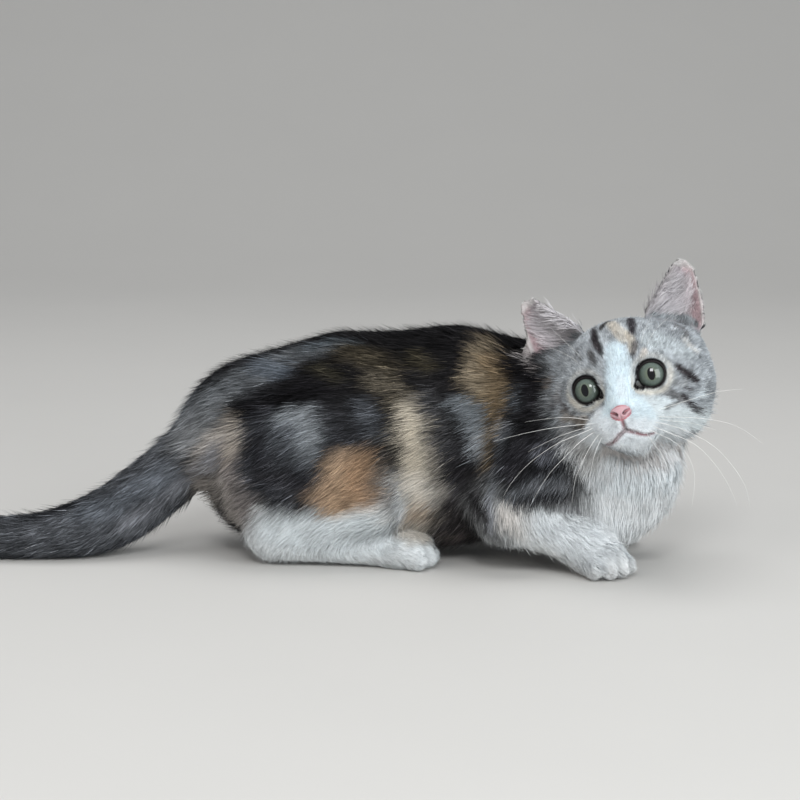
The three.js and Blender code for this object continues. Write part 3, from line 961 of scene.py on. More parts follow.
# Patches over the base tones, laid one on the other: label, places, half widths, strength, tone.
# Names on the head say left and right as seen from its front.
bodyMarks = [
    ("saddleSilver", [(-102, -13, 61), (-86, -15, 73), (-68, -18, 82), (-49, -12, 92), (-31, -14, 96)],
     (9, 8, 8, 7, 5), 0.85, (104, 107, 110)),
    ("rumpSilver", [(-103, -13, 58), (-88, -18, 65), (-75, -25, 71)], (7, 7, 5), 0.7, (146, 149, 152)),
    ("rumpTick", [(-61, -13, 87), (-51, -20, 87)], (5, 5), 0.6, (118, 127, 138)),
    ("blackBand", [(-71, -29, 68), (-55, -33, 74), (-39, -33, 79), (-24, -29, 85)],
     (6, 7, 8, 8), 1, (17, 16, 18)),
    ("backTick", [(-22, -17, 95), (-10, -25, 91), (-2, -31, 87)], (6, 7, 4), 0.42, (84, 76, 60)),
    ("sideTick", [(-34, -25, 88), (-27, -30, 84)], (4, 3), 0.35, (66, 62, 46)),
    ("withersTick", [(8, -27, 92), (13, -32, 89)], (4, 3), 0.5, (74, 68, 52)),
    ("spineSlate", [(-40, -10, 95), (-18, -12, 98)], (4, 3), 0.6, (84, 92, 98)),
    ("creamTail", [(-87, -23, 51), (-78, -30, 56), (-71, -35, 58)], (5, 7, 5), 1, (188, 181, 174)),
    ("buttock", [(-75, -34, 47), (-74, -34, 36), (-70, -33, 27), (-62, -39, 25)],
     (7, 8, 8, 6), 0.9, (150, 143, 140)),
    ("seat", [(-86, -20, 42), (-80, -26, 38), (-77, -26, 30), (-74, -26, 20)],
     (6, 6, 7, 7), 0.85, (166, 160, 154)),
    ("underSeat", [(-82, -12, 32), (-80, 0, 26), (-80, 12, 30)], (9, 9, 9), 0.85, (152, 146, 140)),
    ("rumpLow", [(-93, -11, 66), (-81, -18, 73), (-70, -20, 78)], (3, 4, 3), 0.4, (128, 132, 136)),
    ("thighSlate", [(-60, -38, 63), (-49, -44, 55), (-47, -46, 41), (-50, -45, 33)],
     (10, 14, 12, 8), 0.9, (60, 61, 65)),
    ("thighBlackA", [(-62, -40, 56), (-60, -42, 50)], (5, 4), 0.85, (36, 36, 40)),
    ("thighBlackB", [(-60, -43, 43), (-48, -46, 41), (-38, -47, 38)], (4, 5, 5), 0.8, (38, 37, 40)),
    ("thighBlackC", [(-58, -42, 31), (-44, -45, 29), (-34, -46, 27)], (3, 3, 3), 0.8, (34, 34, 36)),
    ("hipSilver", [(-48, -39, 69), (-41, -41, 66), (-38, -44, 60), (-41, -45, 54)],
     (5, 6, 5, 4), 0.85, (156, 161, 165)),
    ("hipSlate", [(-50, -42, 61), (-43, -45, 53)], (7, 7), 0.5, (88, 92, 97)),
    ("orangeA", [(-24, -46, 44), (-23, -46, 31)], (10, 9), 1, (184, 157, 130)),
    ("orangeB", [(-14, -45, 46), (-14, -47, 32)], (8, 8), 0.9, (164, 134, 106)),
    ("orangeC", [(-31, -46, 34), (-24, -47, 27)], (7, 6), 0.7, (170, 144, 118)),
    ("gapDark", [(-7, -43, 58), (-6, -43, 50)], (5, 4), 0.9, (46, 44, 42)),
    ("gapGrey", [(-7, -44, 45), (-6, -46, 37)], (4, 5), 0.8, (104, 99, 93)),
    ("gapLow", [(-4, -46, 31), (-2, -43, 20)], (3, 4), 0.9, (50, 49, 50)),
    ("slateSpot", [(-15, -38, 72), (-10, -41, 67), (-6, -42, 61)], (5, 5, 3), 0.7, (78, 81, 86)),
    ("creamArc", [(-13, -33, 83), (-4, -35, 80), (3, -39, 75)], (3, 4, 5), 0.8, (112, 104, 90)),
    ("creamColumn", [(5, -41, 72), (7, -43, 63), (10, -44, 52), (11, -43, 40), (13, -41, 31), (13, -40, 25)],
     (4, 7, 8, 8, 8, 8), 1, (212, 202, 184)),
    ("creamLow", [(8, -43, 39), (13, -42, 33)], (7, 7), 0.85, (218, 212, 202)),
    ("peachLow", [(10, -39, 23), (10, -39, 22)], (7, 7), 0.85, (178, 158, 138)),
    ("creamFoot", [(10, -36, 17), (4, -40, 16)], (6, 5), 0.8, (190, 182, 170)),
    ("ribSlate", [(16, -45, 56), (21, -45, 45), (20, -42, 32)], (7, 8, 6), 0.6, (66, 66, 69)),
    ("ribBlack", [(12, -41, 74), (17, -45, 65)], (6, 6), 0.8, (72, 72, 74)),
    ("silverFork", [(27, -43, 74), (31, -44, 70), (34, -45, 64)], (4, 5, 4), 0.9, (140, 146, 151)),
    ("silverStreak", [(33, -45, 62), (33, -45, 53)], (3, 3), 1, (150, 155, 160)),
    ("elbowDark", [(28, -45, 47), (31, -48, 38), (34, -55, 30), (36, -57, 22)],
     (6, 6, 5, 4), 0.95, (34, 32, 34)),
    ("ochreTop", [(39, -15, 98), (38, -25, 94)], (4, 6), 0.75, (124, 112, 94)),
    ("ochrePale", [(37, -26, 94), (35, -36, 85), (36, -40, 79)], (5, 6, 4), 0.9, (144, 131, 111)),
    ("ochreGold", [(43, -30, 90), (44, -37, 82), (42, -42, 74)], (6, 6, 5), 0.95, (122, 105, 82)),
    ("ochreLow", [(41, -44, 71), (38, -46, 62), (37, -47, 50)], (4, 3, 2.5), 0.85, (100, 86, 66)),
    ("shoulderLine", [(51, -42, 77), (48, -47, 68), (43, -48, 59), (40, -50, 46), (39, -56, 34)],
     (1.6, 1.8, 1.8, 1.6, 1.6), 0.8, (150, 154, 160)),
    ("fringe", [(43, -45, 69), (42, -48, 58), (41, -52, 42), (40, -57, 33), (38, -57, 22)],
     (1.5, 1.5, 1.4, 1.3, 1.2), 0.8, (154, 158, 164)),
    ("neckBlack", [(52, -29, 91), (56, -41, 80), (54, -49, 68)], (8, 9, 9), 1, (18, 17, 19)),
    ("neckSheen", [(50, -39, 81), (50, -45, 72)], (3, 3), 0.5, (80, 84, 88)),
    ("armSlate", [(46, -50, 55), (55, -56, 47), (68, -55, 43), (79, -55, 43)],
     (9, 12, 12, 9), 0.9, (24, 24, 26)),
    ("armBlackTop", [(45, -51, 50), (51, -52, 55)], (5, 5), 0.7, (44, 43, 47)),
    ("armSilverA", [(61, -55, 57), (64, -56, 54)], (4, 4), 0.4, (112, 114, 122)),
    ("armStreak", [(49, -56, 39), (57, -56, 41), (69, -55, 40)], (2.5, 3, 2.5), 0.6, (128, 131, 136)),
    ("armBlack", [(53, -57, 36), (63, -55, 36), (75, -53, 32), (85, -53, 29)],
     (2.5, 3, 3.5, 3), 0.95, (28, 27, 30)),
    ("armEdge", [(63, -55, 31), (71, -53, 29), (78, -53, 30)], (2, 3, 2), 0.8, (140, 140, 143)),
    ("elbowShade", [(43, -58, 28), (49, -58, 22), (60, -55, 17)], (2, 2, 2), 0.25, (150, 148, 148)),
    ("elbowWhite", [(47, -58, 28), (54, -58, 25)], (5, 6), 1, (216, 211, 206)),
    ("foreWhite", [(60, -57, 24), (70, -56, 18), (82, -57, 14)], (7, 9, 12), 1, (222, 226, 228)),
    ("breastWhite", [(94, -54, 47), (105, -47, 38), (99, -48, 24), (111, -43, 50)],
     (12, 22, 16, 18), 1, (240, 244, 246)),
    ("bellyDark", [(20, -39, 22), (27, -26, 10)], (8, 8), 0.8, (54, 51, 52)),
    ("lowDark", [(24, -43, 29), (28, -45, 23), (30, -40, 14)], (6, 7, 6), 0.85, (44, 41, 42)),
    ("bellyPale", [(20, -29, 12), (26, -26, 10)], (3, 3), 0.5, (128, 118, 112)),
    ("bellyTuft", [(39, -56, 34), (38, -57, 24), (37, -55, 16)], (2, 2.5, 2.5), 0.7, (160, 162, 168)),
    ("hindWhite", [(-60, -40, 21), (-44, -43, 18), (-26, -43, 16), (-11, -44, 19)],
     (6, 9, 10, 9), 1, (224, 230, 232)),
    ("kneeWhite", [(-9, -48, 30), (-6, -46, 24)], (3, 4), 0.9, (206, 206, 204)),
    ("tailTop", [(-111, -14, 43), (-99, -13, 52), (-88, -21, 60)], (3, 3, 3), 0.6, (40, 40, 42)),
    ("tailLight", [(-83, -26, 45), (-91, -16, 34), (-98, -16, 29)], (4, 4, 4), 0.75, (150, 152, 158)),
    ("tailRoot", [(-95, -16, 53), (-88, -21, 58)], (5, 5), 0.9, (136, 138, 140)),
    ("tailLow", [(-81, -29, 51), (-93, -17, 35), (-106, -18, 24), (-119, -23, 16)],
     (4, 4, 4, 4), 0.7, (148, 150, 156)),
    ("underTail", [(-74, -29, 64), (-72, -35, 56), (-75, -34, 50)], (3, 4, 4), 0.8, (180, 170, 158)),
    ("tailMid", [(-104, -16, 39), (-111, -18, 35), (-124, -22, 27), (-137, -24, 22)],
     (5, 6, 6, 6), 0.6, (104, 109, 116)),
    ("tailDark", [(-151, -18, 27), (-164, -20, 27), (-175, -21, 27)], (8, 8, 8), 1, (24, 24, 27)),
    # the side that the picture doesn't show, patched in the same way
    ("leftSaddle", [(-96, 5, 62), (-78, 15, 70), (-56, 21, 80)], (9, 8, 7), 0.8, (92, 99, 106)),
    ("leftHipSilver", [(-56, 37, 62), (-46, 40, 56)], (6, 7), 0.8, (144, 154, 164)),
    ("leftThighSlate", [(-62, 35, 52), (-46, 44, 42), (-32, 45, 34)], (10, 12, 10), 0.85, (68, 70, 77)),
    ("leftThighOrange", [(-34, 45, 46), (-22, 46, 38)], (6, 8), 0.95, (152, 120, 90)),
    ("leftCream", [(-12, 42, 72), (-8, 45, 56), (-14, 44, 40)], (5, 7, 6), 0.95, (180, 170, 152)),
    ("leftTick", [(10, 31, 86), (18, 37, 74)], (6, 7), 0.7, (88, 78, 60)),
    ("leftSilver", [(26, 39, 72), (24, 42, 52), (22, 39, 36)], (3, 4, 4), 0.85, (142, 150, 158)),
    ("leftOchre", [(40, 17, 88), (46, 25, 72), (44, 30, 58)], (6, 8, 6), 0.9, (110, 93, 70)),
    ("leftArmSlate", [(56, 25, 58), (64, 29, 44), (52, 37, 36)], (9, 10, 9), 0.8, (74, 74, 80)),
    ("leftArmStreak", [(50, 42, 44), (64, 37, 42)], (2.6, 2.6), 0.7, (126, 129, 134)),
    ("leftButtock", [(-78, 25, 44), (-74, 29, 30)], (8, 9), 0.9, (150, 143, 140)),
    ("leftHindWhite", [(-60, 43, 18), (-44, 43, 15), (-24, 45, 15), (-10, 45, 18)],
     (7, 10, 10, 8), 1, (224, 230, 232)),
    ("leftTailLight", [(-108, 5, 34), (-124, -1, 24), (-144, -7, 16)], (5, 5, 5), 0.6, (118, 122, 128)),
]
headMarks = [
    ("rightBrow", [(105, -55, 103), (113, -52, 101), (120, -51, 96)], (4, 5, 5), 0.45, (196, 204, 206)),
    ("blaze", [(91, -58, 99), (92, -62, 93), (92, -65, 87), (91, -71, 81)],
     (4.5, 5.5, 6, 8), 1, (224, 239, 247)),
    ("muzzleWhite", [(85, -71, 72), (92, -76, 75), (102, -74, 76), (112, -69, 72)],
     (7, 10, 10, 8), 1, (226, 240, 247)),
    ("padWhite", [(85, -70, 66), (95, -75, 66), (105, -71, 65), (115, -59, 60)],
     (7, 8, 9, 9), 1, (236, 242, 246)),
    # the white under the jaw, greyed with painted shade
    ("chinWhiteShaded", [(91, -59, 55), (98, -57, 53), (107, -51, 52), (116, -41, 53)],
     (7, 8, 8, 8), 1, (206, 202, 200)),
    ("bibWhite", [(90, -55, 46), (102, -52, 45), (113, -44, 46)], (7, 9, 9), 1, (224, 230, 233)),
    ("ruffLow", [(71, -54, 59), (76, -56, 53), (82, -57, 48), (88, -59, 46)],
     (3.5, 4, 4, 4), 0.85, (206, 208, 209)),
    ("rightCheekWhite", [(105, -67, 81), (110, -69, 77), (119, -63, 71), (128, -52, 69)],
     (3, 5, 5, 5), 0.95, (226, 233, 235)),
    ("leftCheekWhite", [(83, -65, 73), (81, -65, 67), (80, -57, 58)], (3.5, 4.5, 5.5), 1, (236, 242, 246)),
    ("leftJaw", [(75, -55, 58), (81, -55, 53)], (4, 5), 0.8, (190, 190, 188)),
    ("creamCrown", [(90, -43, 109), (92, -51, 107), (94, -55, 104)], (2.2, 2.8, 2.4), 0.5, (214, 200, 178)),
    ("creamBrow", [(96, -53, 107), (98, -57, 102), (98, -59, 100)], (1.4, 1.8, 1.6), 0.5, (214, 198, 172)),
    ("stripeA", [(83, -41, 106), (83, -49, 103), (84, -53, 100), (85, -57, 98)],
     (1.5, 1.8, 1.8, 1.2), 1, (52, 49, 51)),
    ("stripeTop", [(89, -37, 109), (86, -45, 107)], (1.5, 1.5), 1, (56, 54, 54)),
    ("stripeB", [(99, -39, 110), (98, -49, 109), (98, -53, 106)], (1.8, 2.1, 1.5), 1, (54, 52, 55)),
    ("browSpotRight", [(99, -57, 102), (98, -59, 98)], (1.6, 1.2), 0.85, (84, 82, 84)),
    ("browSpotLeft", [(81, -53, 97), (82, -57, 93)], (1.7, 1.2), 0.85, (80, 78, 78)),
    ("rightEyeFront", [(103, -58, 99), (101, -59, 95), (100, -59, 89)],
     (1.6, 1.4, 1.2), 0.5, (214, 200, 186)),
    ("rightRing", [(100, -66, 83), (106, -64, 83), (111, -61, 86), (113, -61, 91)],
     (1.2, 1.3, 1.3, 1.2), 0.85, (230, 229, 224)),
    ("leftRing", [(73, -53, 77), (77, -55, 75), (82, -56, 77), (85, -64, 80)],
     (1.1, 1.3, 1.3, 1.1), 0.85, (216, 211, 200)),
    ("rightPeach", [(111, -60, 94), (114, -59, 93), (117, -56, 93)], (0.9, 1, 0.9), 0.5, (206, 188, 164)),
    ("rightStripe", [(117, -59, 93), (121, -60, 90), (125, -59, 87)], (1.3, 2.1, 1.6), 1, (50, 46, 48)),
    ("rightStripeMid", [(120, -62, 84), (123, -61, 83)], (0.9, 1), 0.9, (78, 74, 76)),
    ("rightStripeLow", [(119, -63, 81), (122, -62, 78), (126, -59, 74), (129, -56, 72)],
     (1.2, 1.7, 1.8, 1.3), 1, (50, 46, 48)),
    ("rightTabby", [(111, -64, 84), (114, -64, 82), (118, -64, 80)], (1.6, 2, 1.5), 0.75, (106, 104, 104)),
    ("rightTabbyLow", [(112, -68, 77), (116, -66, 78), (119, -64, 79)],
     (0.9, 1.1, 0.9), 0.7, (100, 96, 96)),
    ("rightTabbyB", [(116, -62, 86), (120, -61, 86)], (1.6, 1.6), 0.4, (138, 136, 134)),
    ("rightCheekPale", [(125, -61, 80), (129, -57, 81)], (2, 2), 0.7, (208, 216, 220)),
    ("leftStripe", [(69, -46, 80), (67, -46, 77), (66, -48, 73)], (1.2, 1.5, 1.3), 1, (62, 60, 62)),
    ("leftBand", [(77, -57, 73), (81, -60, 74)], (1.3, 1.2), 0.6, (122, 114, 106)),
    ("leftTan", [(70, -52, 69), (78, -59, 70)], (2.2, 2.4), 0.7, (132, 120, 106)),
    ("leftDark", [(69, -53, 65), (73, -55, 65), (77, -59, 67)], (1.3, 1.8, 1.5), 0.9, (70, 62, 54)),
    ("leftDarkB", [(70, -51, 72), (74, -54, 72)], (1.2, 1.2), 0.5, (104, 100, 96)),
    ("leftCheekTabby", [(67, -46, 78), (68, -49, 76), (71, -51, 73)], (1.2, 1.3, 1.2), 0.8, (90, 84, 84)),
    ("leftCheekPale", [(68, -45, 82), (67, -47, 76)], (1.6, 1.6), 0.5, (176, 178, 180)),
    ("leftJawWhite", [(70, -53, 64), (74, -55, 58), (81, -55, 54)], (2.2, 2.6, 2.6), 0.6, (196, 196, 196)),
    ("leftEyeUnder", [(69, -50, 72), (74, -54, 70), (78, -59, 68)], (1.1, 1.2, 1.1), 0.6, (112, 102, 92)),
    ("noseBridge", [(93, -65, 88), (93, -70, 83)], (2, 2), 0.3, (206, 206, 204)),
    ("leftTemple", [(67, -40, 84), (64, -43, 79), (63, -47, 73)], (2, 2.4, 2.4), 0.45, (122, 124, 126)),
    ("leftBrowGrey", [(74, -46, 97), (76, -51, 93)], (3, 3), 0.4, (134, 136, 138)),
    ("earEdgeLeft", [(64, -41, 81), (65, -38, 84)], (1.5, 1.5), 0.5, (116, 100, 86)),
    ("earFootLeft", [(57, -26, 92), (59, -33, 88), (61, -38, 85)], (1.3, 1.3, 1.3), 0.8, (186, 178, 176)),
    # painted shade in the pocket at the left ear's base
    ("earPocketShadeLeft", [(62, -31, 90), (64, -36, 88)], (1.5, 1.5), 0.7, (92, 86, 86)),
    ("earRootRight", [(122, -42, 102), (124, -44, 98)], (1.5, 1.8), 0.6, (110, 108, 106)),
    # painted shade in the pocket at the right ear's base
    ("earPocketShadeRight", [(118, -38, 107), (121, -39, 107), (123, -44, 104)],
     (1.3, 1.4, 1.3), 0.8, (92, 87, 86)),
    ("earTuftRight", [(121, -46, 103), (123, -48, 100), (126, -49, 98)],
     (1.5, 1.5, 1.5), 0.7, (218, 216, 212)),
]
markEdges = {"body": (1.1, 0.45, 4.6), "head": (0.4, 0.28, 2.2)}  # softness: least, by half width, most
patterns = {
    "nape": 0.62,  # how much darker the back of the head is
    "crease": 0.22,  # and the painted shade in the toes' creases
    "broadDrift": 2.4, "fineDrift": 1.3, "faceDrift": 0.35,  # how far noise moves the marks
    "brindle": 0.3, "broadBrindle": 0.28, "ticks": 0.34, "broadTicks": 0.14,
    "lips": 0.5, "mouthLineTintAndShade": 0.9, "earRim": 0.8,
}
baseTones = {
    "rump": (38, 38, 40), "loin": (24, 23, 24), "ribs": (24, 23, 24), "belly": (58, 54, 52),
    "shoulders": (26, 25, 26), "breast": (238, 241, 242), "neck": (25, 24, 25), "thigh": (58, 59, 63),
    "shin": (222, 225, 226), "foot": (230, 234, 235), "hindpaw": (234, 238, 239), "arm": (30, 30, 33),
    "forearm": (236, 239, 239), "forepaw": (250, 252, 252), "tail": (82, 84, 88), "head": (169, 174, 178),
}
paint = {
    # the lips and the mouth's line: the lips' own pink, darkened with painted shade of the mouth's groove
    "lips": (176, 126, 130), "mouthLineTintAndShade": (140, 98, 102), "behindNose": (178, 122, 128),
    "lidRing": (222, 218, 208), "lidEdge": (26, 23, 24),
    "earBehind": (112, 116, 118), "earBehindRimPaleAndLit": (206, 205, 202), "earPink": (194, 170, 173),
    "earFur": (176, 167, 171), "earHollowRim": (206, 203, 201), "earHairs": (214, 210, 213),
}
bareNose = {"place": (32.6, 0, -14.6), "painted": (5, 4.8, 3.4), "hairless": (5, 4.3, 3.2)}
scramble = {"axes": np.array([73856093, 19349663, 83492791]), "seed": 2654435761, "mix": 1274126177}


def lattice(points, scale, seed):  # smooth noise between -1 and 1
    q = points / scale
    cell = np.floor(q).astype(np.int64)
    f = q - cell
    f = f * f * (3 - 2 * f)
    total = np.zeros(len(points))
    for corner in np.ndindex(2, 2, 2):
        key = (cell + corner) * scramble["axes"]
        h = key[:, 0] ^ key[:, 1] ^ key[:, 2] ^ seed * scramble["seed"]
        h = (h ^ (h >> 13)) * scramble["mix"] & 0xFFFFFFFF
        value = ((h ^ (h >> 16)) & 0xFFFF) / 32767.5 - 1
        total += value * np.where(corner, f, 1 - f).prod(1)
    return total


def drift(points, scale, seed):  # three lattices side by side
    return np.stack([lattice(points, scale, seed + k) for k in range(3)], 1)


def stretched(points, stretch, scale, seed):
    return lattice(points * np.array(stretch), scale, seed)


def brightness(tones):
    return tones @ np.array([0.3, 0.59, 0.11])


def layMarks(tones, points, marks, edge):  # changes the tones in place
    least, growth, most = edge
    for _, places, halfWidths, strength, tone in marks:
        places = np.array(places, float)
        soft = min(most, least + growth * max(halfWidths))
        reach = max(halfWidths) * 1.6 + soft * 2 + 2
        low, high = places.min(0) - reach, places.max(0) + reach
        close = np.where(((points > low) & (points < high)).all(1))[0]
        gap = lineDistance(points[close], places, halfWidths)
        tones[close] = mixed(tones[close], linear(tone), strength * (1 - ramp(gap, -soft, soft)))


def lidGap(own):
    # How far a point lies outside the lids' edge, how high round the eye, and how near its tear corner.
    best = np.full(len(own), 99.0)
    above = np.zeros(len(own))
    corner = np.zeros(len(own))
    for sign in (-1, 1):
        local, reach, angle, onBall = seenFromEye(own, sign)
        outside = onBall - openingRadius(angle) + 0.6 * np.maximum(0, reach - 9.4)
        gap = np.where((local[:, 0] > 0) & (reach < 15), outside, 99)
        closer = gap < best
        best[closer] = gap[closer]
        above[closer] = np.sin(angle[closer])
        corner[closer] = bump(turnFrom(angle[closer], 210), 0, 0.3)
    return best, above, corner


def earTones(points, ears, inside):
    # Grey and ticked behind, pink towards the outer edge of the hollow, pale fur towards its inner edge.
    aside, height = ears["aside"], ears["height"]
    rim = np.maximum(ramp(np.abs(aside), 0.8, 0.96), ramp(height, 0.84, 0.95))
    behind = linear(paint["earBehind"]) * (1 + 0.3 * lattice(points, 2.5, 9))[:, None]
    # paler towards the rim behind: pale rim fur with painted light on the edges
    behind = mixed(behind, linear(paint["earBehindRimPaleAndLit"]), rim)
    pink = linear(paint["earPink"]) * (1 + 0.1 * lattice(points, 5, 10))[:, None]
    fur = linear(paint["earFur"]) * (1 + 0.25 * stretched(points, (1, 1, 0.4), 1.6, 11))[:, None]
    foot = ramp(0.3 - height, 0, 0.16) * (1 - ramp(aside, 0.4, 0.9))
    hollow = mixed(pink, fur, np.maximum(1 - ramp(aside, -0.4, 0.2), foot))
    hollow = mixed(hollow, linear(paint["earHollowRim"]), patterns["earRim"] * rim)
    return mixed(behind, hollow, inside)


def coatTones(points, names, shares, own, ears, inside):
    # Every colour of the kitten at the given places, for skin and coat alike.
    table = np.array([linear(baseTones[n.split("_")[0]]) for n in names])
    sharper = shares**2.2
    sharper /= sharper.sum(1, keepdims=True)
    tones = sharper @ table
    isHead = shares[:, names.index("head")]
    nape = isHead * (1 - ramp(own[:, 0], -27, -8))
    tones = tones * (1 - patterns["nape"] * nape)[:, None]
    plain = tones.copy()
    broad = drift(points, 9, 1)
    fine = drift(points, 3.2, 4)
    moved = points + broad * patterns["broadDrift"] + fine * patterns["fineDrift"]
    layMarks(tones, moved, bodyMarks, markEdges["body"])
    tones = mixed(tones, plain, ramp(isHead, 0.35, 0.65))
    # painted shade: darker in the toes' creases
    tones = tones * (1 - patterns["crease"] * bump(toeGap(points), 0, 0.8))[:, None]
    # brindle in the dark fur of the body, ticks in the fur of the head
    dark = 1 - ramp(brightness(tones), 0.15, 0.45)
    brindle = patterns["brindle"] * stretched(points, (0.45, 0.7, 1), 4.5, 31)
    brindle += patterns["broadBrindle"] * stretched(points, (0.6, 0.8, 1), 9, 32)
    tones = tones * (1 + (np.exp(brindle) - 1) * dark * (1 - isHead))[:, None]
    ticks = patterns["ticks"] * stretched(points, (0.8, 0.8, 0.5), 1.7, 33)
    ticks += patterns["broadTicks"] * lattice(points, 5, 34)
    tones = tones * (1 + (np.exp(ticks) - 1) * isHead)[:, None]
    moved = points + (broad + fine) * patterns["faceDrift"]
    layMarks(tones, moved, headMarks, markEdges["head"])
    # the hairs by the mouth take the lips' pink, with painted shade of the mouth's groove
    lips = patterns["lips"] * bump(mouthDistance(own), 0, 1.1) * (own[:, 0] > 18)
    tones = mixed(tones, linear(paint["lips"]), lips)
    # the lids: a dark edge, then a pale ring
    gap, above, corner = lidGap(own)
    ring = bump(gap, 1.7, 0.9) * (0.3 + 0.5 * ramp(-above, -0.5, 0.5))
    tones = mixed(tones, linear(paint["lidRing"]), ring)
    upper = ramp(above, 0, 0.9)
    edge = 1 - ramp(gap - 0.75 * corner, 0.15 + 0.25 * upper, 0.6 + 0.35 * upper)
    tones = mixed(tones, linear(paint["lidEdge"]), edge)
    return mixed(tones, earTones(points, ears, inside), ears["share"])


def storeTones(mesh, tones):
    layer = mesh.color_attributes.new("coatTone", "FLOAT_COLOR", "POINT")
    flat = np.ones((len(tones), 4), np.float32)
    flat[:, :3] = tones
    layer.data.foreach_set("color", flat.ravel())


def earInside(normals, ears):  # 1 on the hollow side of an ear
    return ramp((normals @ headTurn)[:, 0], -0.25, 0.25) * (ears["share"] > 0.02)


def nearNose(own, half):
    return np.linalg.norm((own - np.array(bareNose["place"])) / np.array(half), axis=1) < 1


def paintSkin(skin):
    mesh = skin.data
    points = fromRow(readPoints(mesh))
    normals = readNormals(mesh)
    names, shares = sharesAt(points)
    ears = earPlaces(points)
    own = toHead(points)
    tones = coatTones(points, names, shares, own, ears, earInside(normals, ears))
    tones = tones * (0.75 + 0.15 * ears["share"])[:, None]  # painted shade: the skin darker under the coat, less so on the ears
    # the mouth's line on the skin: lip colour darkened with painted shade of its groove
    line = patterns["mouthLineTintAndShade"] * bump(mouthDistance(own), 0, 0.8) * (own[:, 0] > 18)
    tones = mixed(tones, linear(paint["mouthLineTintAndShade"]), line)
    tones[nearNose(own, bareNose["painted"])] = linear(paint["behindNose"])
    storeTones(mesh, tones)
    mesh.materials.append(hairMaterial("downySkin", 0.9, 0.55))
    print("skin painted")


# The coat

coatLook = {
    "seed": 11,
    "steps": 2,
    "taper": (0.8, 1.0, 0.0),  # of the width, from root to tip
    "patch": 0.003,  # of the unwrap
    "limit": 190000,  # triangles in a piece
    "smoothShading": 0.7,
    "wander": 0.15,
    "swirl": 0.24,
    "bow": 0.05,
    "roll": 0.95,
    "lengths": (0.68, 1.12),
    "rises": (0.5, 1.05),  # of the coat's depth
    "widths": (0.75, 1.2),
    "strayLonger": 1.15,
    "strayRise": 0.26,
    "strayPower": 1.15,  # how straight it stands
    "lyingPower": 2.0,
    "pulls": (0.6, 1.3),
    "pullPower": 1.4,
    "footSpread": 0.12,  # how much of their distance tufted hairs keep at their tips
    "lowest": 0.15,
}
earCoat = {
    "depth": 0.6, "furDepth": 1.8, "insideLength": 1.2, "behindLength": 1.9, "rimShorter": 0.55,
    "furLength": 8.5, "furStray": 0.2, "rimTurn": 1.5,  # how far the rims' fur turns to the light in front
}
toneLook = {
    "jitter": 1.6,  # millimetres along the hair, which frays the marks
    "sideJitter": 0.45,
    "tuftContrast": 0.42,
    "hairContrast": 0.62,
    "tickShare": 0.12,
    "tickGain": 2.8,
    "darkTip": 0.45,
    "paleTip": -0.25,
    # darker at the root: a greyer undercoat, with painted shade deep in the coat
    "root": 0.74,
    "towardsTip": 0.34,
    "darkest": 0.0015,
    "palest": 0.93,
}
headFlow = {"from": (30, 0, -13), "crown": 0.35, "ruff": 0.6}  # away from here, up the crown, down the ruff
lieByPart = {  # the lie of the coat, mostly towards the tail and the floor
    "rump": (-1, 0, -0.3), "loin": (-1, 0, -0.2), "ribs": (-1, 0, -0.3), "belly": (-0.7, 0, -0.8),
    "shoulders": (-0.8, 0, -0.55), "breast": (0.12, -0.1, -1), "neck": (-0.75, 0.1, -0.6),
    "thigh": (-0.85, 0, -0.6), "shin": (-1, 0, -0.3), "arm": (-0.5, 0, -0.7), "foot": (0.95, 0, -0.3),
}


def tailLie(points):
    lie = np.zeros_like(points)
    best = np.full(len(points), 1e9)
    for a, b in zip(tailLine[:-1], tailLine[1:]):
        gap = np.linalg.norm(points - (a + b) / 2, axis=1)
        closer = gap < best
        best[closer] = gap[closer]
        lie[closer] = unit(b - a)
    return unit(lie + np.array([0, 0, -0.12]))


def pawLie(side, part):
    if part == "forearm":
        way = np.array(legs[side]["wrist"], float) - np.array(legs[side]["elbow"], float)
        return unit(unit(way) + np.array([0, 0, -0.3]))
    yaw = math.radians(legs[side][part + "Yaw"])
    return np.array([math.cos(yaw) * 0.9, math.sin(yaw) * 0.9, -0.42])


def headLie(own):  # away from the nose, over the crown to the nape, and down into the ruff
    away = own - np.array(headFlow["from"])
    away[:, 2] += headFlow["crown"] * np.maximum(0, own[:, 0] - 5)
    away[:, 2] -= headFlow["ruff"] * np.maximum(0, -own[:, 2] - 6)
    return unit(away) @ headTurn.T


def lieOfCoat(points, normals, names, shares, own, ears, inside):
    lie = np.zeros_like(points)
    for i, name in enumerate(names):
        part, _, side = name.partition("_")
        if part in lieByPart:
            way = unit(np.array(lieByPart[part], float))
        elif part == "tail":
            way = tailLie(points)
        elif part == "head":
            way = headLie(own)
        else:
            way = pawLie(side, part)
        lie += way * shares[:, i : i + 1]
    towardsTip = np.zeros_like(points)
    for sign in (-1, 1):
        low, high, middle, edge = earSheet(sign, np.array([0.3, 1.0, 0.45, 0.45]), np.array([0, 0, 0, sign]))
        here = ears["sign"] == sign
        cross = (inside[here] * (1 - ramp(ears["aside"][here], -0.4, 0.6)))[:, None]
        towardsTip[here] = unit(unit(high - low) + 1.5 * cross * unit(edge - middle)) @ headTurn.T
    lie = mixed(unit(lie), towardsTip, ears["share"])
    lie = unit(lie) + coatLook["swirl"] * drift(points, 14, 21)
    lie -= normals * (lie * normals).sum(1, keepdims=True)
    return unit(lie)


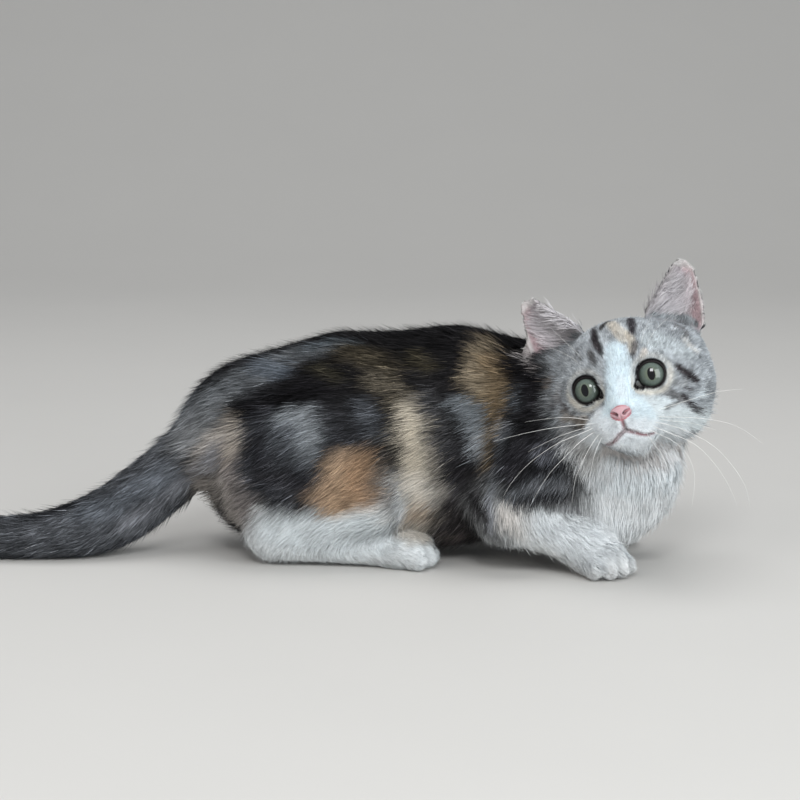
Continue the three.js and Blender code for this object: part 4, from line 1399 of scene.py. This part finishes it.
def scatter(skin, density, rng):  # random roots over the skin, with their normals and places on its unwrap
    mesh = skin.data
    mesh.calc_loop_triangles()
    count = len(mesh.loop_triangles)
    corners, loops = np.empty(count * 3, np.int32), np.empty(count * 3, np.int32)
    mesh.loop_triangles.foreach_get("vertices", corners)
    mesh.loop_triangles.foreach_get("loops", loops)
    corners, loops = corners.reshape(-1, 3), loops.reshape(-1, 3)
    points, normals = fromRow(readPoints(mesh)), readNormals(mesh)
    uv = np.empty(len(mesh.loops) * 2)
    mesh.uv_layers["OFBake"].data.foreach_get("uv", uv)
    uv = uv.reshape(-1, 2)
    a, b, c = (points[corners[:, k]] for k in range(3))
    area = np.linalg.norm(np.cross(b - a, c - a), axis=1) / 2
    number = np.floor(area * density[corners].mean(1) + rng.random(count)).astype(int)
    chosen = np.repeat(np.arange(count), number)
    u, v = rng.random(len(chosen)), rng.random(len(chosen))
    flip = u + v > 1
    u[flip], v[flip] = 1 - u[flip], 1 - v[flip]
    w = np.stack([1 - u - v, u, v], 1)[:, :, None]
    root = (points[corners[chosen]] * w).sum(1)
    normal = unit((normals[corners[chosen]] * w).sum(1))
    return root, normal, (uv[loops[chosen]] * w).sum(1)


def hairMesh(name, hair, part):
    # Tapered blades, each ending in a point, as one mesh with its tones and its patches of the unwrap.
    centres, sides, halfWidths, tones, shade, rootUv, uvAcross = (
        hair[key][part] for key in ("centres", "sides", "halfWidths", "tones", "shade", "uv", "uvAcross")
    )
    along = np.empty_like(centres)
    along[:, :-1] = centres[:, 1:] - centres[:, :-1]
    along[:, -1] = along[:, -2]
    along = unit(along)
    base = shade[:, None]
    turnedAway = (np.cross(sides, along) * base).sum((1, 2)) < 0
    sides = np.where(turnedAway[:, None, None], -sides, sides)
    hairs, levels = centres.shape[:2]
    steps = levels - 1
    each = 2 * steps + 1
    points = np.empty((hairs, each, 3))
    spread = sides[:, :steps] * halfWidths[:, :steps, None]
    points[:, 0 : 2 * steps : 2] = centres[:, :steps] - spread
    points[:, 1 : 2 * steps : 2] = centres[:, :steps] + spread
    points[:, -1] = centres[:, -1]
    quads = [corner for k in range(steps - 1) for corner in (2 * k, 2 * k + 1, 2 * k + 3, 2 * k + 2)]
    corners = np.array(quads + [2 * steps - 2, 2 * steps - 1, 2 * steps])
    order = np.arange(hairs)[:, None]
    allCorners = (corners + each * order).ravel().astype(np.int32)
    starts = (4 * np.arange(steps) + len(corners) * order).ravel().astype(np.int32)
    mesh = bpy.data.meshes.new(name)
    mesh.vertices.add(hairs * each)
    writePoints(mesh, toRow(points.reshape(-1, 3)))
    mesh.loops.add(len(allCorners))
    mesh.loops.foreach_set("vertex_index", allCorners)
    mesh.polygons.add(hairs * steps)
    mesh.polygons.foreach_set("loop_start", starts)
    mesh.update(calc_edges=True)
    mesh.polygons.foreach_set("use_smooth", np.ones(hairs * steps, bool))
    level = np.arange(each) // 2
    across = np.array([-0.5, 0.5] * steps + [0.0])
    storeTones(mesh, tones[:, level].reshape(-1, 3))
    # blades share the light of the coat under them, which keeps the coat soft
    soft = coatLook["smoothShading"]
    shading = unit(base * soft + unit(np.cross(sides, along)) * (1 - soft))[:, level]
    mesh.normals_split_custom_set_from_vertices(shading.reshape(-1, 3).astype(np.float32))
    uv = np.empty((hairs, each, 2), np.float32)
    uv[:, :, 0] = rootUv[:, None, 0] + coatLook["patch"] * (uvAcross[:, None] * 0.8 + 0.2 * across)
    uv[:, :, 1] = rootUv[:, None, 1] + coatLook["patch"] * (level / steps - 0.5)
    mesh.uv_layers.new(name="OFBake").data.foreach_set("uv", uv.reshape(-1, 2)[allCorners].ravel())
    return link(name, mesh)


def coatFields(root, normal):
    names, shares = sharesAt(root)
    own = toHead(root)
    ears = earPlaces(root)
    inside = earInside(normal, ears)
    fields = coatValues(names, shares, own)
    share, aside, height = ears["share"], ears["aside"], ears["height"]
    furred = inside * (1 - ramp(aside, 0.1, 0.7)) * (1 - ramp(height, 0.6, 0.95)) * (share > 0.3)
    rim = np.maximum(ramp(np.abs(aside), 0.7, 0.95), ramp(height, 0.8, 0.95)) * (1 - furred)
    earLength = np.where(inside > 0.5, earCoat["insideLength"], earCoat["behindLength"])
    earLength = earLength * (1 - earCoat["rimShorter"] * rim) + earCoat["furLength"] * furred
    fields["depth"] = mixed(fields["depth"], earCoat["depth"] + earCoat["furDepth"] * furred, share)
    fields["length"] = mixed(fields["length"], earLength, share)
    fields["stray"] = fields["stray"] * (1 - share) + earCoat["furStray"] * furred
    fields["hug"] = np.where(share > 0.4, 0.0, 1.0)
    fields["furred"] = furred
    fields["turned"] = earCoat["rimTurn"] * rim * share
    fields["lie"] = lieOfCoat(root, normal, names, shares, own, ears, inside)
    fields["ears"] = ears
    fields["inside"] = inside
    return fields


def growHairs(root, normal, rootUv, rng):
    # Blades that rise from the skin, lie along the coat and draw together in tufts.
    fields = coatFields(root, normal)
    lie, depth = fields["lie"], fields["depth"]
    count, steps = len(root), coatLook["steps"]
    stray = rng.random(count) < fields["stray"]
    length = fields["length"] * rng.uniform(*coatLook["lengths"], count)
    length = length * np.where(stray, coatLook["strayLonger"], 1)
    rise = depth * rng.uniform(*coatLook["rises"], count)
    rise = np.where(stray, depth + rng.uniform(0.4, 1, count) * coatLook["strayRise"] * length, rise)
    power = np.where(stray, coatLook["strayPower"], coatLook["lyingPower"])
    side = unit(np.cross(lie, normal))
    way = unit(lie + side * rng.normal(0, coatLook["wander"], count)[:, None])
    bow = rng.normal(0, coatLook["bow"], count)
    centres = np.empty((count, steps + 1, 3))
    for k in range(steps + 1):
        t = k / steps
        up = rise * (1 - (1 - t) ** power)
        centres[:, k] = root + way * (length * t)[:, None] + normal * up[:, None]
        centres[:, k] += side * (bow * length * math.sin(math.pi * t))[:, None]
        if k:  # keeps the hair at its height where the body curves away
            gap = up - depth - kittenDistance(centres[:, k])
            centres[:, k] += normal * np.clip(gap * fields["hug"], -4, 4)[:, None]
    # some hairs lead, and the others draw towards the nearest of these
    chance = 1 / (fields["number"] * (0.9 + 0.1 * fields["length"]) ** 2)
    leaders = np.where(rng.random(count) < chance)[0]
    tree = KDTree(len(leaders))
    for i, k in enumerate(leaders):
        tree.insert(root[k], i)
    tree.balance()
    tuft = np.array([tree.find(place)[1] for place in root])
    leader = leaders[tuft]
    pull = fields["pull"] * rng.uniform(*coatLook["pulls"], len(leaders))[tuft] * np.where(stray, 0.5, 1)
    apart = coatLook["footSpread"] * (root - root[leader])
    for k in range(1, steps + 1):
        draw = pull * (k / steps) ** coatLook["pullPower"]
        centres[:, k] = mixed(centres[:, k], centres[leader, k] + apart, draw)
    centres[:, :, 2] = np.maximum(centres[:, :, 2], coatLook["lowest"])
    sides = np.empty_like(centres)
    roll = rng.uniform(-coatLook["roll"], coatLook["roll"], count)[:, None]
    for k in range(steps + 1):
        along = unit(centres[:, min(k + 1, steps)] - centres[:, max(k - 1, 0)])
        across = unit(np.cross(along, normal))
        sides[:, k] = across * np.cos(roll) + np.cross(across, along) * np.sin(roll)
    widths = fields["width"] / 2 * rng.uniform(*coatLook["widths"], count)
    return {
        "centres": centres,
        "sides": sides,
        "halfWidths": widths[:, None] * np.array(coatLook["taper"]),
        "shade": unit(normal + fields["turned"][:, None] * headTurn[:, 0]),
        "uv": rootUv[leader],
        "uvAcross": rng.uniform(-0.5, 0.5, count),
        "tones": hairTones(centres, tuft, rng, fields),
    }


def hairTones(centres, tuft, rng, fields):
    count, levels = centres.shape[:2]
    middle = centres[:, levels // 2]
    names, shares = sharesAt(middle)
    longer = ramp(fields["length"], 4, 9)[:, None]
    spot = middle + fields["lie"] * rng.normal(0, 1, (count, 1)) * toneLook["jitter"] * longer
    spot = spot + rng.normal(0, toneLook["sideJitter"], (count, 3)) * (0.25 + 0.75 * longer)
    tones = coatTones(spot, names, shares, toHead(spot), fields["ears"], fields["inside"])
    tones = mixed(tones, linear(paint["earHairs"]), 0.8 * fields["furred"])
    bright = np.clip(brightness(tones), 0, 1)
    isHead = shares[:, names.index("head")]
    contrast = 0.66 * (1 - np.sqrt(bright)) ** 1.2 + 0.05 + 0.1 * isHead * (bright < 0.6)
    tuftShade = rng.normal(0, 1, tuft.max() + 1)[tuft]
    single = rng.normal(0, 1, count)
    factor = np.exp(contrast * (toneLook["tuftContrast"] * tuftShade + toneLook["hairContrast"] * single))
    paleTick = (rng.random(count) < toneLook["tickShare"]) & (bright < 0.12)
    factor = np.where(paleTick, factor * toneLook["tickGain"], factor)
    tones = tones * factor[:, None]
    grey = ramp(bright, 0.015, 0.06) * (1 - ramp(bright, 0.3, 0.6))
    tipped = np.where(rng.random(count) < 0.5, toneLook["darkTip"], toneLook["paleTip"]) * grey
    out = np.empty((count, levels, 3))
    for k in range(levels):
        t = k / (levels - 1)
        # darker towards the root: the greyer undercoat and painted shade deep in the coat
        rootShadeAndUndercoat = toneLook["root"] + toneLook["towardsTip"] * t
        out[:, k] = tones * (rootShadeAndUndercoat * (1 - tipped * t * t))[:, None]
    return np.clip(out, toneLook["darkest"], toneLook["palest"])


def bare(root, normal, own, rng):  # where no hair grows
    lip = (mouthDistance(own) < 0.55) & (own[:, 0] > 18)
    ears = earPlaces(root)
    hollow = (earInside(normal, ears) > 0.5) & (ears["share"] > 0.4)
    thin = hollow & (rng.random(len(root)) < 0.4 + 0.4 * ramp(ears["aside"], 0, 0.6))
    underfoot = root[:, 2] < 1.2
    return thin | underfoot | (lidGap(own)[0] < 0.55) | nearNose(own, bareNose["hairless"]) | lip


def buildCoat(skin):
    points = fromRow(readPoints(skin.data))
    names, shares = sharesAt(points)
    isHead = shares[:, names.index("head")] > 0.5
    number = coatValues(names, shares, toHead(points))["number"]
    rng = np.random.default_rng(coatLook["seed"])
    material = hairMaterial("softHair", 0.7, 0.15)
    pieces = []
    for kind, density in (("body", np.where(isHead, 0, number)), ("head", np.where(isHead, number, 0))):
        root, normal, rootUv = scatter(skin, density, rng)
        keep = ~bare(root, normal, toHead(root), rng)
        hair = growHairs(root[keep], normal[keep], rootUv[keep], rng)
        root = root[keep]
        count = math.ceil(len(root) * (2 * coatLook["steps"] - 1) / coatLook["limit"])
        order = np.argsort(root[:, 0] if kind == "body" else toHead(root)[:, 2])
        for i, part in enumerate(np.array_split(order, count)):
            piece = hairMesh(f"{kind}Coat{i + 1}", hair, part)
            piece.data.materials.append(material)
            pieces.append(piece)
        print(kind, "coat grown:", len(root), "hairs in", count, "pieces")
    return pieces


# Whiskers

whiskers = [  # places in the head's frame, each from its root to its tip
    [(27, -13.2, -15.8), (28, -25.5, -13.9), (29, -36.1, -13), (29, -49.5, -12.7), (28, -57.4, -13)],
    [(27, -13.4, -17.5), (30, -21.9, -19.1), (31, -30, -20.2), (32, -42.9, -25.2),
     (31, -53.6, -31.9), (30, -58.2, -36.9)],
    [(27, -12.9, -18.9), (31, -19.3, -21.5), (33, -27.5, -26.7), (34, -38.8, -34.1), (33, -47.1, -43.7)],
    [(27.5, -11, -20), (32, -14.6, -23.4), (35, -19.9, -30), (36, -26.2, -38.4), (36, -28.3, -46.5)],
    [(27.5, -9.8, -20.6), (32, -12.8, -25.2), (34, -16.6, -31.6), (34, -19, -37.9)],
    [(25.5, -13.8, -14.4), (27, -22.7, -10.6), (27, -31.1, -9), (26, -42.3, -8)],
    [(26, -14.1, -16.6), (28, -24, -16.9), (28, -34.1, -18.3), (27, -43.8, -20.7)],
    [(27, 9.4, -20.4), (29.5, 17.6, -23.6), (30.5, 26, -29), (30.5, 35.3, -37.6), (30, 41, -49),
     (28, 43.4, -58), (26, 42.3, -64.8)],
    [(27, 11, -18.8), (29, 21.1, -21.4), (30, 32.6, -24.7), (30, 43, -29.3), (29, 49.9, -35.3),
     (28, 53.5, -40.4)],
    [(27.5, 9, -21.4), (30.4, 17, -27), (30.8, 25, -32.6), (31, 29.5, -37.6), (31, 34.5, -47.4),
     (29, 37.2, -57.8), (27, 37.4, -64.2)],
    [(27.5, 7.5, -22.4), (31, 12.8, -26.7), (33, 19.4, -31.3), (34, 24.1, -39.1), (34, 24.5, -49.2),
     (33, 19.7, -59.4)],
    [(26, 12, -16.8), (27, 24.2, -16.1), (27, 35.2, -15.4), (26, 43.7, -15.3), (25, 50.9, -16.7)],
    [(27, 7, -23.2), (32, 9.7, -29.4), (34, 13.6, -36.3), (34, 13.8, -44.1)],
    [(26.5, 11.4, -19.6), (29, 19.5, -22.7), (30, 28.8, -25.9), (30, 36.6, -30.8)],
    [(18, -12, 9), (21, -14, 15), (20, -19, 22), (15, -24, 29)],
    [(17.5, -13.5, 9), (20.5, -17, 14), (19, -23, 19), (15, -29, 23)],
    [(18, 12, 9), (21, 14, 15), (20, 19, 22), (15, 24, 28)],
    [(17.5, 13.5, 9), (20.5, 17, 14), (19, 23, 19), (15, 29, 22)],
]


whiskerLook = {  # radii and lengths in millimetres
    "radius": 0.12, "browRadius": 0.06, "tipRadius": 0.025, "buried": 2.5,
    "tone": (226, 224, 220), "paleTone": (244, 243, 240),
}


def buildWhiskers():
    strands = []
    for i, path in enumerate(whiskers):
        path = np.array(path, float)
        onBrow = path[0, 2] > 0
        root = path[0] - unit(path[1] - path[0]) * whiskerLook["buried"]
        path = np.vstack([root, path])
        thick = whiskerLook["browRadius" if onBrow else "radius"]
        radii = np.linspace(thick, whiskerLook["tipRadius"], len(path))
        strands.append(tube(f"whisker{i}", fromHead(path), radii, resolution=6, sides=1))
    piece = joinPieces(strands, "whiskers")
    material, shader, nodes, links = newMaterial("whiskerHorn", 0.35)
    noise = addNoise(nodes, links, 300, 3)
    addTones(nodes, links, shader, noise, whiskerLook["tone"], whiskerLook["paleTone"], 0.3, 0.45)
    addRelief(nodes, links, shader, noise.outputs["Fac"], 0.1, 0.00005)
    piece.data.materials.append(material)
    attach(piece, "root")
    print("whiskers built")


# Eyes

eyeLook = {  # millimetres from the middle of the gaze, and screen colours
    "iris": 5.95, "pupilHalfWidth": 1.65, "pupilHalfHeight": 2.75, "bulge": 0.35,
    "irisTone": (88, 99, 92), "irisRim": (18, 21, 20), "irisInner": (112, 118, 94),
    "aroundIris": (26, 22, 22), "pupilLight": (0.002, 0.002, 0.003),
}
lidLook = {
    "radius": 0.3, "upperThicker": 0.24, "proud": 0.2, "points": 96,
    "tone": (15, 12, 13), "paleTone": (30, 24, 25),
}


def eyeMaterial():
    material, shader, nodes, links = newMaterial("wetEye", 0.12)

    def maths(operation, a, b=None):
        return addMath(nodes, links, operation, a, b)

    def squares(a, b):
        return maths("ADD", maths("MULTIPLY", a, a), maths("MULTIPLY", b, b))

    def layer(value, low, high, toLow, toHigh, under, tone):
        return addMix(nodes, links, addRange(nodes, links, value, low, high, toLow, toHigh), under, tone)

    gaze = nodes.new("ShaderNodeAttribute")
    gaze.attribute_name = "gaze"
    split = nodes.new("ShaderNodeSeparateXYZ")
    links.new(gaze.outputs["Vector"], split.inputs[0])
    across, up = split.outputs[1], split.outputs[2]
    radial = maths("SQRT", squares(across, up))
    pupilX = maths("DIVIDE", across, eyeLook["pupilHalfWidth"])
    pupilY = maths("DIVIDE", up, eyeLook["pupilHalfHeight"])
    # fibres run out from the pupil
    polar = nodes.new("ShaderNodeCombineXYZ")
    links.new(maths("MULTIPLY", maths("ARCTAN2", up, across), 6.0), polar.inputs[0])
    links.new(maths("MULTIPLY", radial, 0.35), polar.inputs[1])
    fibres = nodes.new("ShaderNodeTexNoise")
    fibres.inputs["Scale"].default_value = 2.4
    fibres.inputs["Detail"].default_value = 5
    links.new(polar.outputs[0], fibres.inputs["Vector"])
    irisTone = linear(eyeLook["irisTone"])
    edge = eyeLook["iris"]
    tone = layer(fibres.outputs["Fac"], 0.32, 0.68, 0, 1, irisTone * 0.78, irisTone * 1.25)
    tone = layer(radial, 1.5, 3.6, 0.55, 0, tone, linear(eyeLook["irisInner"]))
    tone = layer(radial, edge - 1.7, edge - 0.35, 0, 1, tone, linear(eyeLook["irisRim"]))
    tone = layer(radial, edge - 0.1, edge + 0.5, 0, 1, tone, linear(eyeLook["aroundIris"]))
    tone = layer(squares(pupilX, pupilY), 0.82, 1.12, 1, 0, tone, eyeLook["pupilLight"])
    links.new(tone, shader.inputs["Base Color"])
    rubbed = addRange(nodes, links, fibres.outputs["Fac"], 0.3, 0.7, 0.28, 0.4)
    links.new(rubbed, shader.inputs["Roughness"])
    addRelief(nodes, links, shader, fibres.outputs["Fac"], 0.06, 0.0002)
    shader.inputs["Specular IOR Level"].default_value = 0.05
    shader.inputs["Coat Weight"].default_value = 1.0
    shader.inputs["Coat Roughness"].default_value = 0.015
    shader.inputs["Coat IOR"].default_value = 1.6
    return material


def buildEyes():
    material = eyeMaterial()
    for sign, side in ((-1, "right"), (1, "left")):
        piece, mesh, ballPoints = newSphere("eyeball_" + side, 72, 48)
        gaze = np.roll(ballPoints, 1, axis=1) * eye["radius"]  # the pole looks out
        aside = np.hypot(gaze[:, 1], gaze[:, 2])
        local = gaze.copy()
        local[:, 0] += np.where(gaze[:, 0] > 0, eyeLook["bulge"] * (1 - ramp(aside, 2.5, 6.2)), 0)
        writePoints(mesh, toRow(fromHead(local @ eyeFrame(sign).T + eyeCentre(sign))))
        attribute = mesh.attributes.new("gaze", "FLOAT_VECTOR", "POINT")
        attribute.data.foreach_set("vector", gaze.astype(np.float32).ravel())
        faceOutwards(piece)
        mesh.materials.append(material)
        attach(piece, "root")
        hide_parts("eye_" + side)
    print("eyes built")


def rimMaterial():
    material, shader, nodes, links = newMaterial("wetLidRim", 0.5)
    noise = addNoise(nodes, links, 900, 3)
    addTones(nodes, links, shader, noise, lidLook["tone"], lidLook["paleTone"], 0.4, 0.6)
    addRelief(nodes, links, shader, noise.outputs["Fac"], 0.2, 0.0001)
    shader.inputs["Specular IOR Level"].default_value = 0.25
    return material


def buildLidRims():
    material = rimMaterial()
    angles = np.linspace(0, 2 * math.pi, lidLook["points"], endpoint=False)
    edge = openingRadius(angles)
    radii = lidLook["radius"] + lidLook["upperThicker"] * ramp(np.sin(angles + 0.35), -0.2, 0.9)
    forward = np.sqrt((eye["radius"] + lidLook["proud"]) ** 2 - edge**2)
    local = np.stack([forward, edge * np.cos(angles), edge * np.sin(angles)], 1)
    for sign, side in ((-1, "right"), (1, "left")):
        path = fromHead(local @ eyeFrame(sign).T + eyeCentre(sign))
        piece = tube("lidRim_" + side, path, radii, closed=True)
        piece.data.materials.append(material)
        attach(piece, "root")
    print("lid rims built")


# Nose

noseLook = {
    "place": (31.5, 0, -14.6), "half": (4.2, 4.8, 3.6),
    # dark is painted shade in the nostrils' pits and, fainter, in the groove down the nose's lower middle
    "tone": (198, 164, 170), "pebbles": (176, 108, 116), "dark": (44, 24, 28),
    "nostril": [(1.7, -0.5, 0), (2.6, 0.2, 0), (3.6, 0.6, 0), (4.9, 1.3, 0)],  # aside and up, on the left
    "pit": 1.25, "groove": 0.45, "wing": 0.22,
}


def noseMaterial():
    material, shader, nodes, links = newMaterial("noseLeather", 0.42)
    depth = nodes.new("ShaderNodeAttribute")
    depth.attribute_name = "nostril"
    cells = nodes.new("ShaderNodeTexVoronoi")
    cells.inputs["Scale"].default_value = 2600
    place = nodes.new("ShaderNodeTexCoord")
    links.new(place.outputs["Object"], cells.inputs["Vector"])
    noise = addNoise(nodes, links, 500, 3)
    tone = linear(noseLook["tone"])
    pink = addMix(nodes, links, noise.outputs["Fac"], tone * 0.9, tone * 1.08)
    between = addRange(nodes, links, cells.outputs["Distance"], 0.0, 0.7, 0.0, 0.25)
    pebbled = addMix(nodes, links, between, pink, linear(noseLook["pebbles"]))
    # painted shade: the nostrils' pits and the groove darkened
    hollow = addMix(nodes, links, depth.outputs["Fac"], pebbled, linear(noseLook["dark"]))
    links.new(hollow, shader.inputs["Base Color"])
    rubbed = addRange(nodes, links, noise.outputs["Fac"], 0.3, 0.7, 0.34, 0.5)
    links.new(rubbed, shader.inputs["Roughness"])
    addRelief(nodes, links, shader, cells.outputs["Distance"], 0.35, 0.00012)
    shader.inputs["Subsurface Weight"].default_value = 0.1
    shader.inputs["Subsurface Radius"].default_value = (0.002, 0.0008, 0.0006)
    return material


def buildNose():
    piece, mesh, p = newSphere("noseLeather", 96, 64)
    out, up = p[:, 0], p[:, 2]
    narrow = np.where(up < 0, 1 + 0.66 * up, 1 - 0.1 * up**2)
    local = p * np.array(noseLook["half"]) * np.stack([1 - 0.12 * up, narrow, np.ones(len(p))], 1)
    # nostrils: commas low at each side, their tails curling outwards and up
    front = out > -0.2
    aside = np.abs(local[:, 1])
    flat = np.stack([aside, local[:, 2], np.zeros(len(p))], 1)
    gap = lineDistance(flat, noseLook["nostril"])
    thick = 0.66 - 0.36 * ramp(aside, 2.4, 4.2)
    pit = front * (1 - ramp(gap, thick * 0.55, thick * 1.5))
    groove = front * bump(aside, 0, 0.35) * ramp(-local[:, 2], -0.5, 2.5)
    wing = front * bump(gap, 1.15, 0.55)
    local += p * (noseLook["wing"] * wing - noseLook["pit"] * pit - noseLook["groove"] * groove)[:, None]
    writePoints(mesh, toRow(fromHead(local + np.array(noseLook["place"]))))
    # the nostril value carries the painted shade of the pits and the groove
    layer = mesh.attributes.new("nostril", "FLOAT", "POINT")
    layer.data.foreach_set("value", np.clip(pit + 0.25 * groove, 0, 1).astype(np.float32))
    faceOutwards(piece)
    mesh.materials.append(noseMaterial())
    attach(piece, "root")
    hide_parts("nose")
    print("nose built")


# Putting it together

hairShade = hairGroup()
buildStudio()
skin = buildSkin()
paintSkin(skin)
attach(skin, "root")
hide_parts(*fleshNodes)
buildEyes()
buildLidRims()
buildNose()
buildWhiskers()
for piece in buildCoat(skin):
    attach(piece, "root")
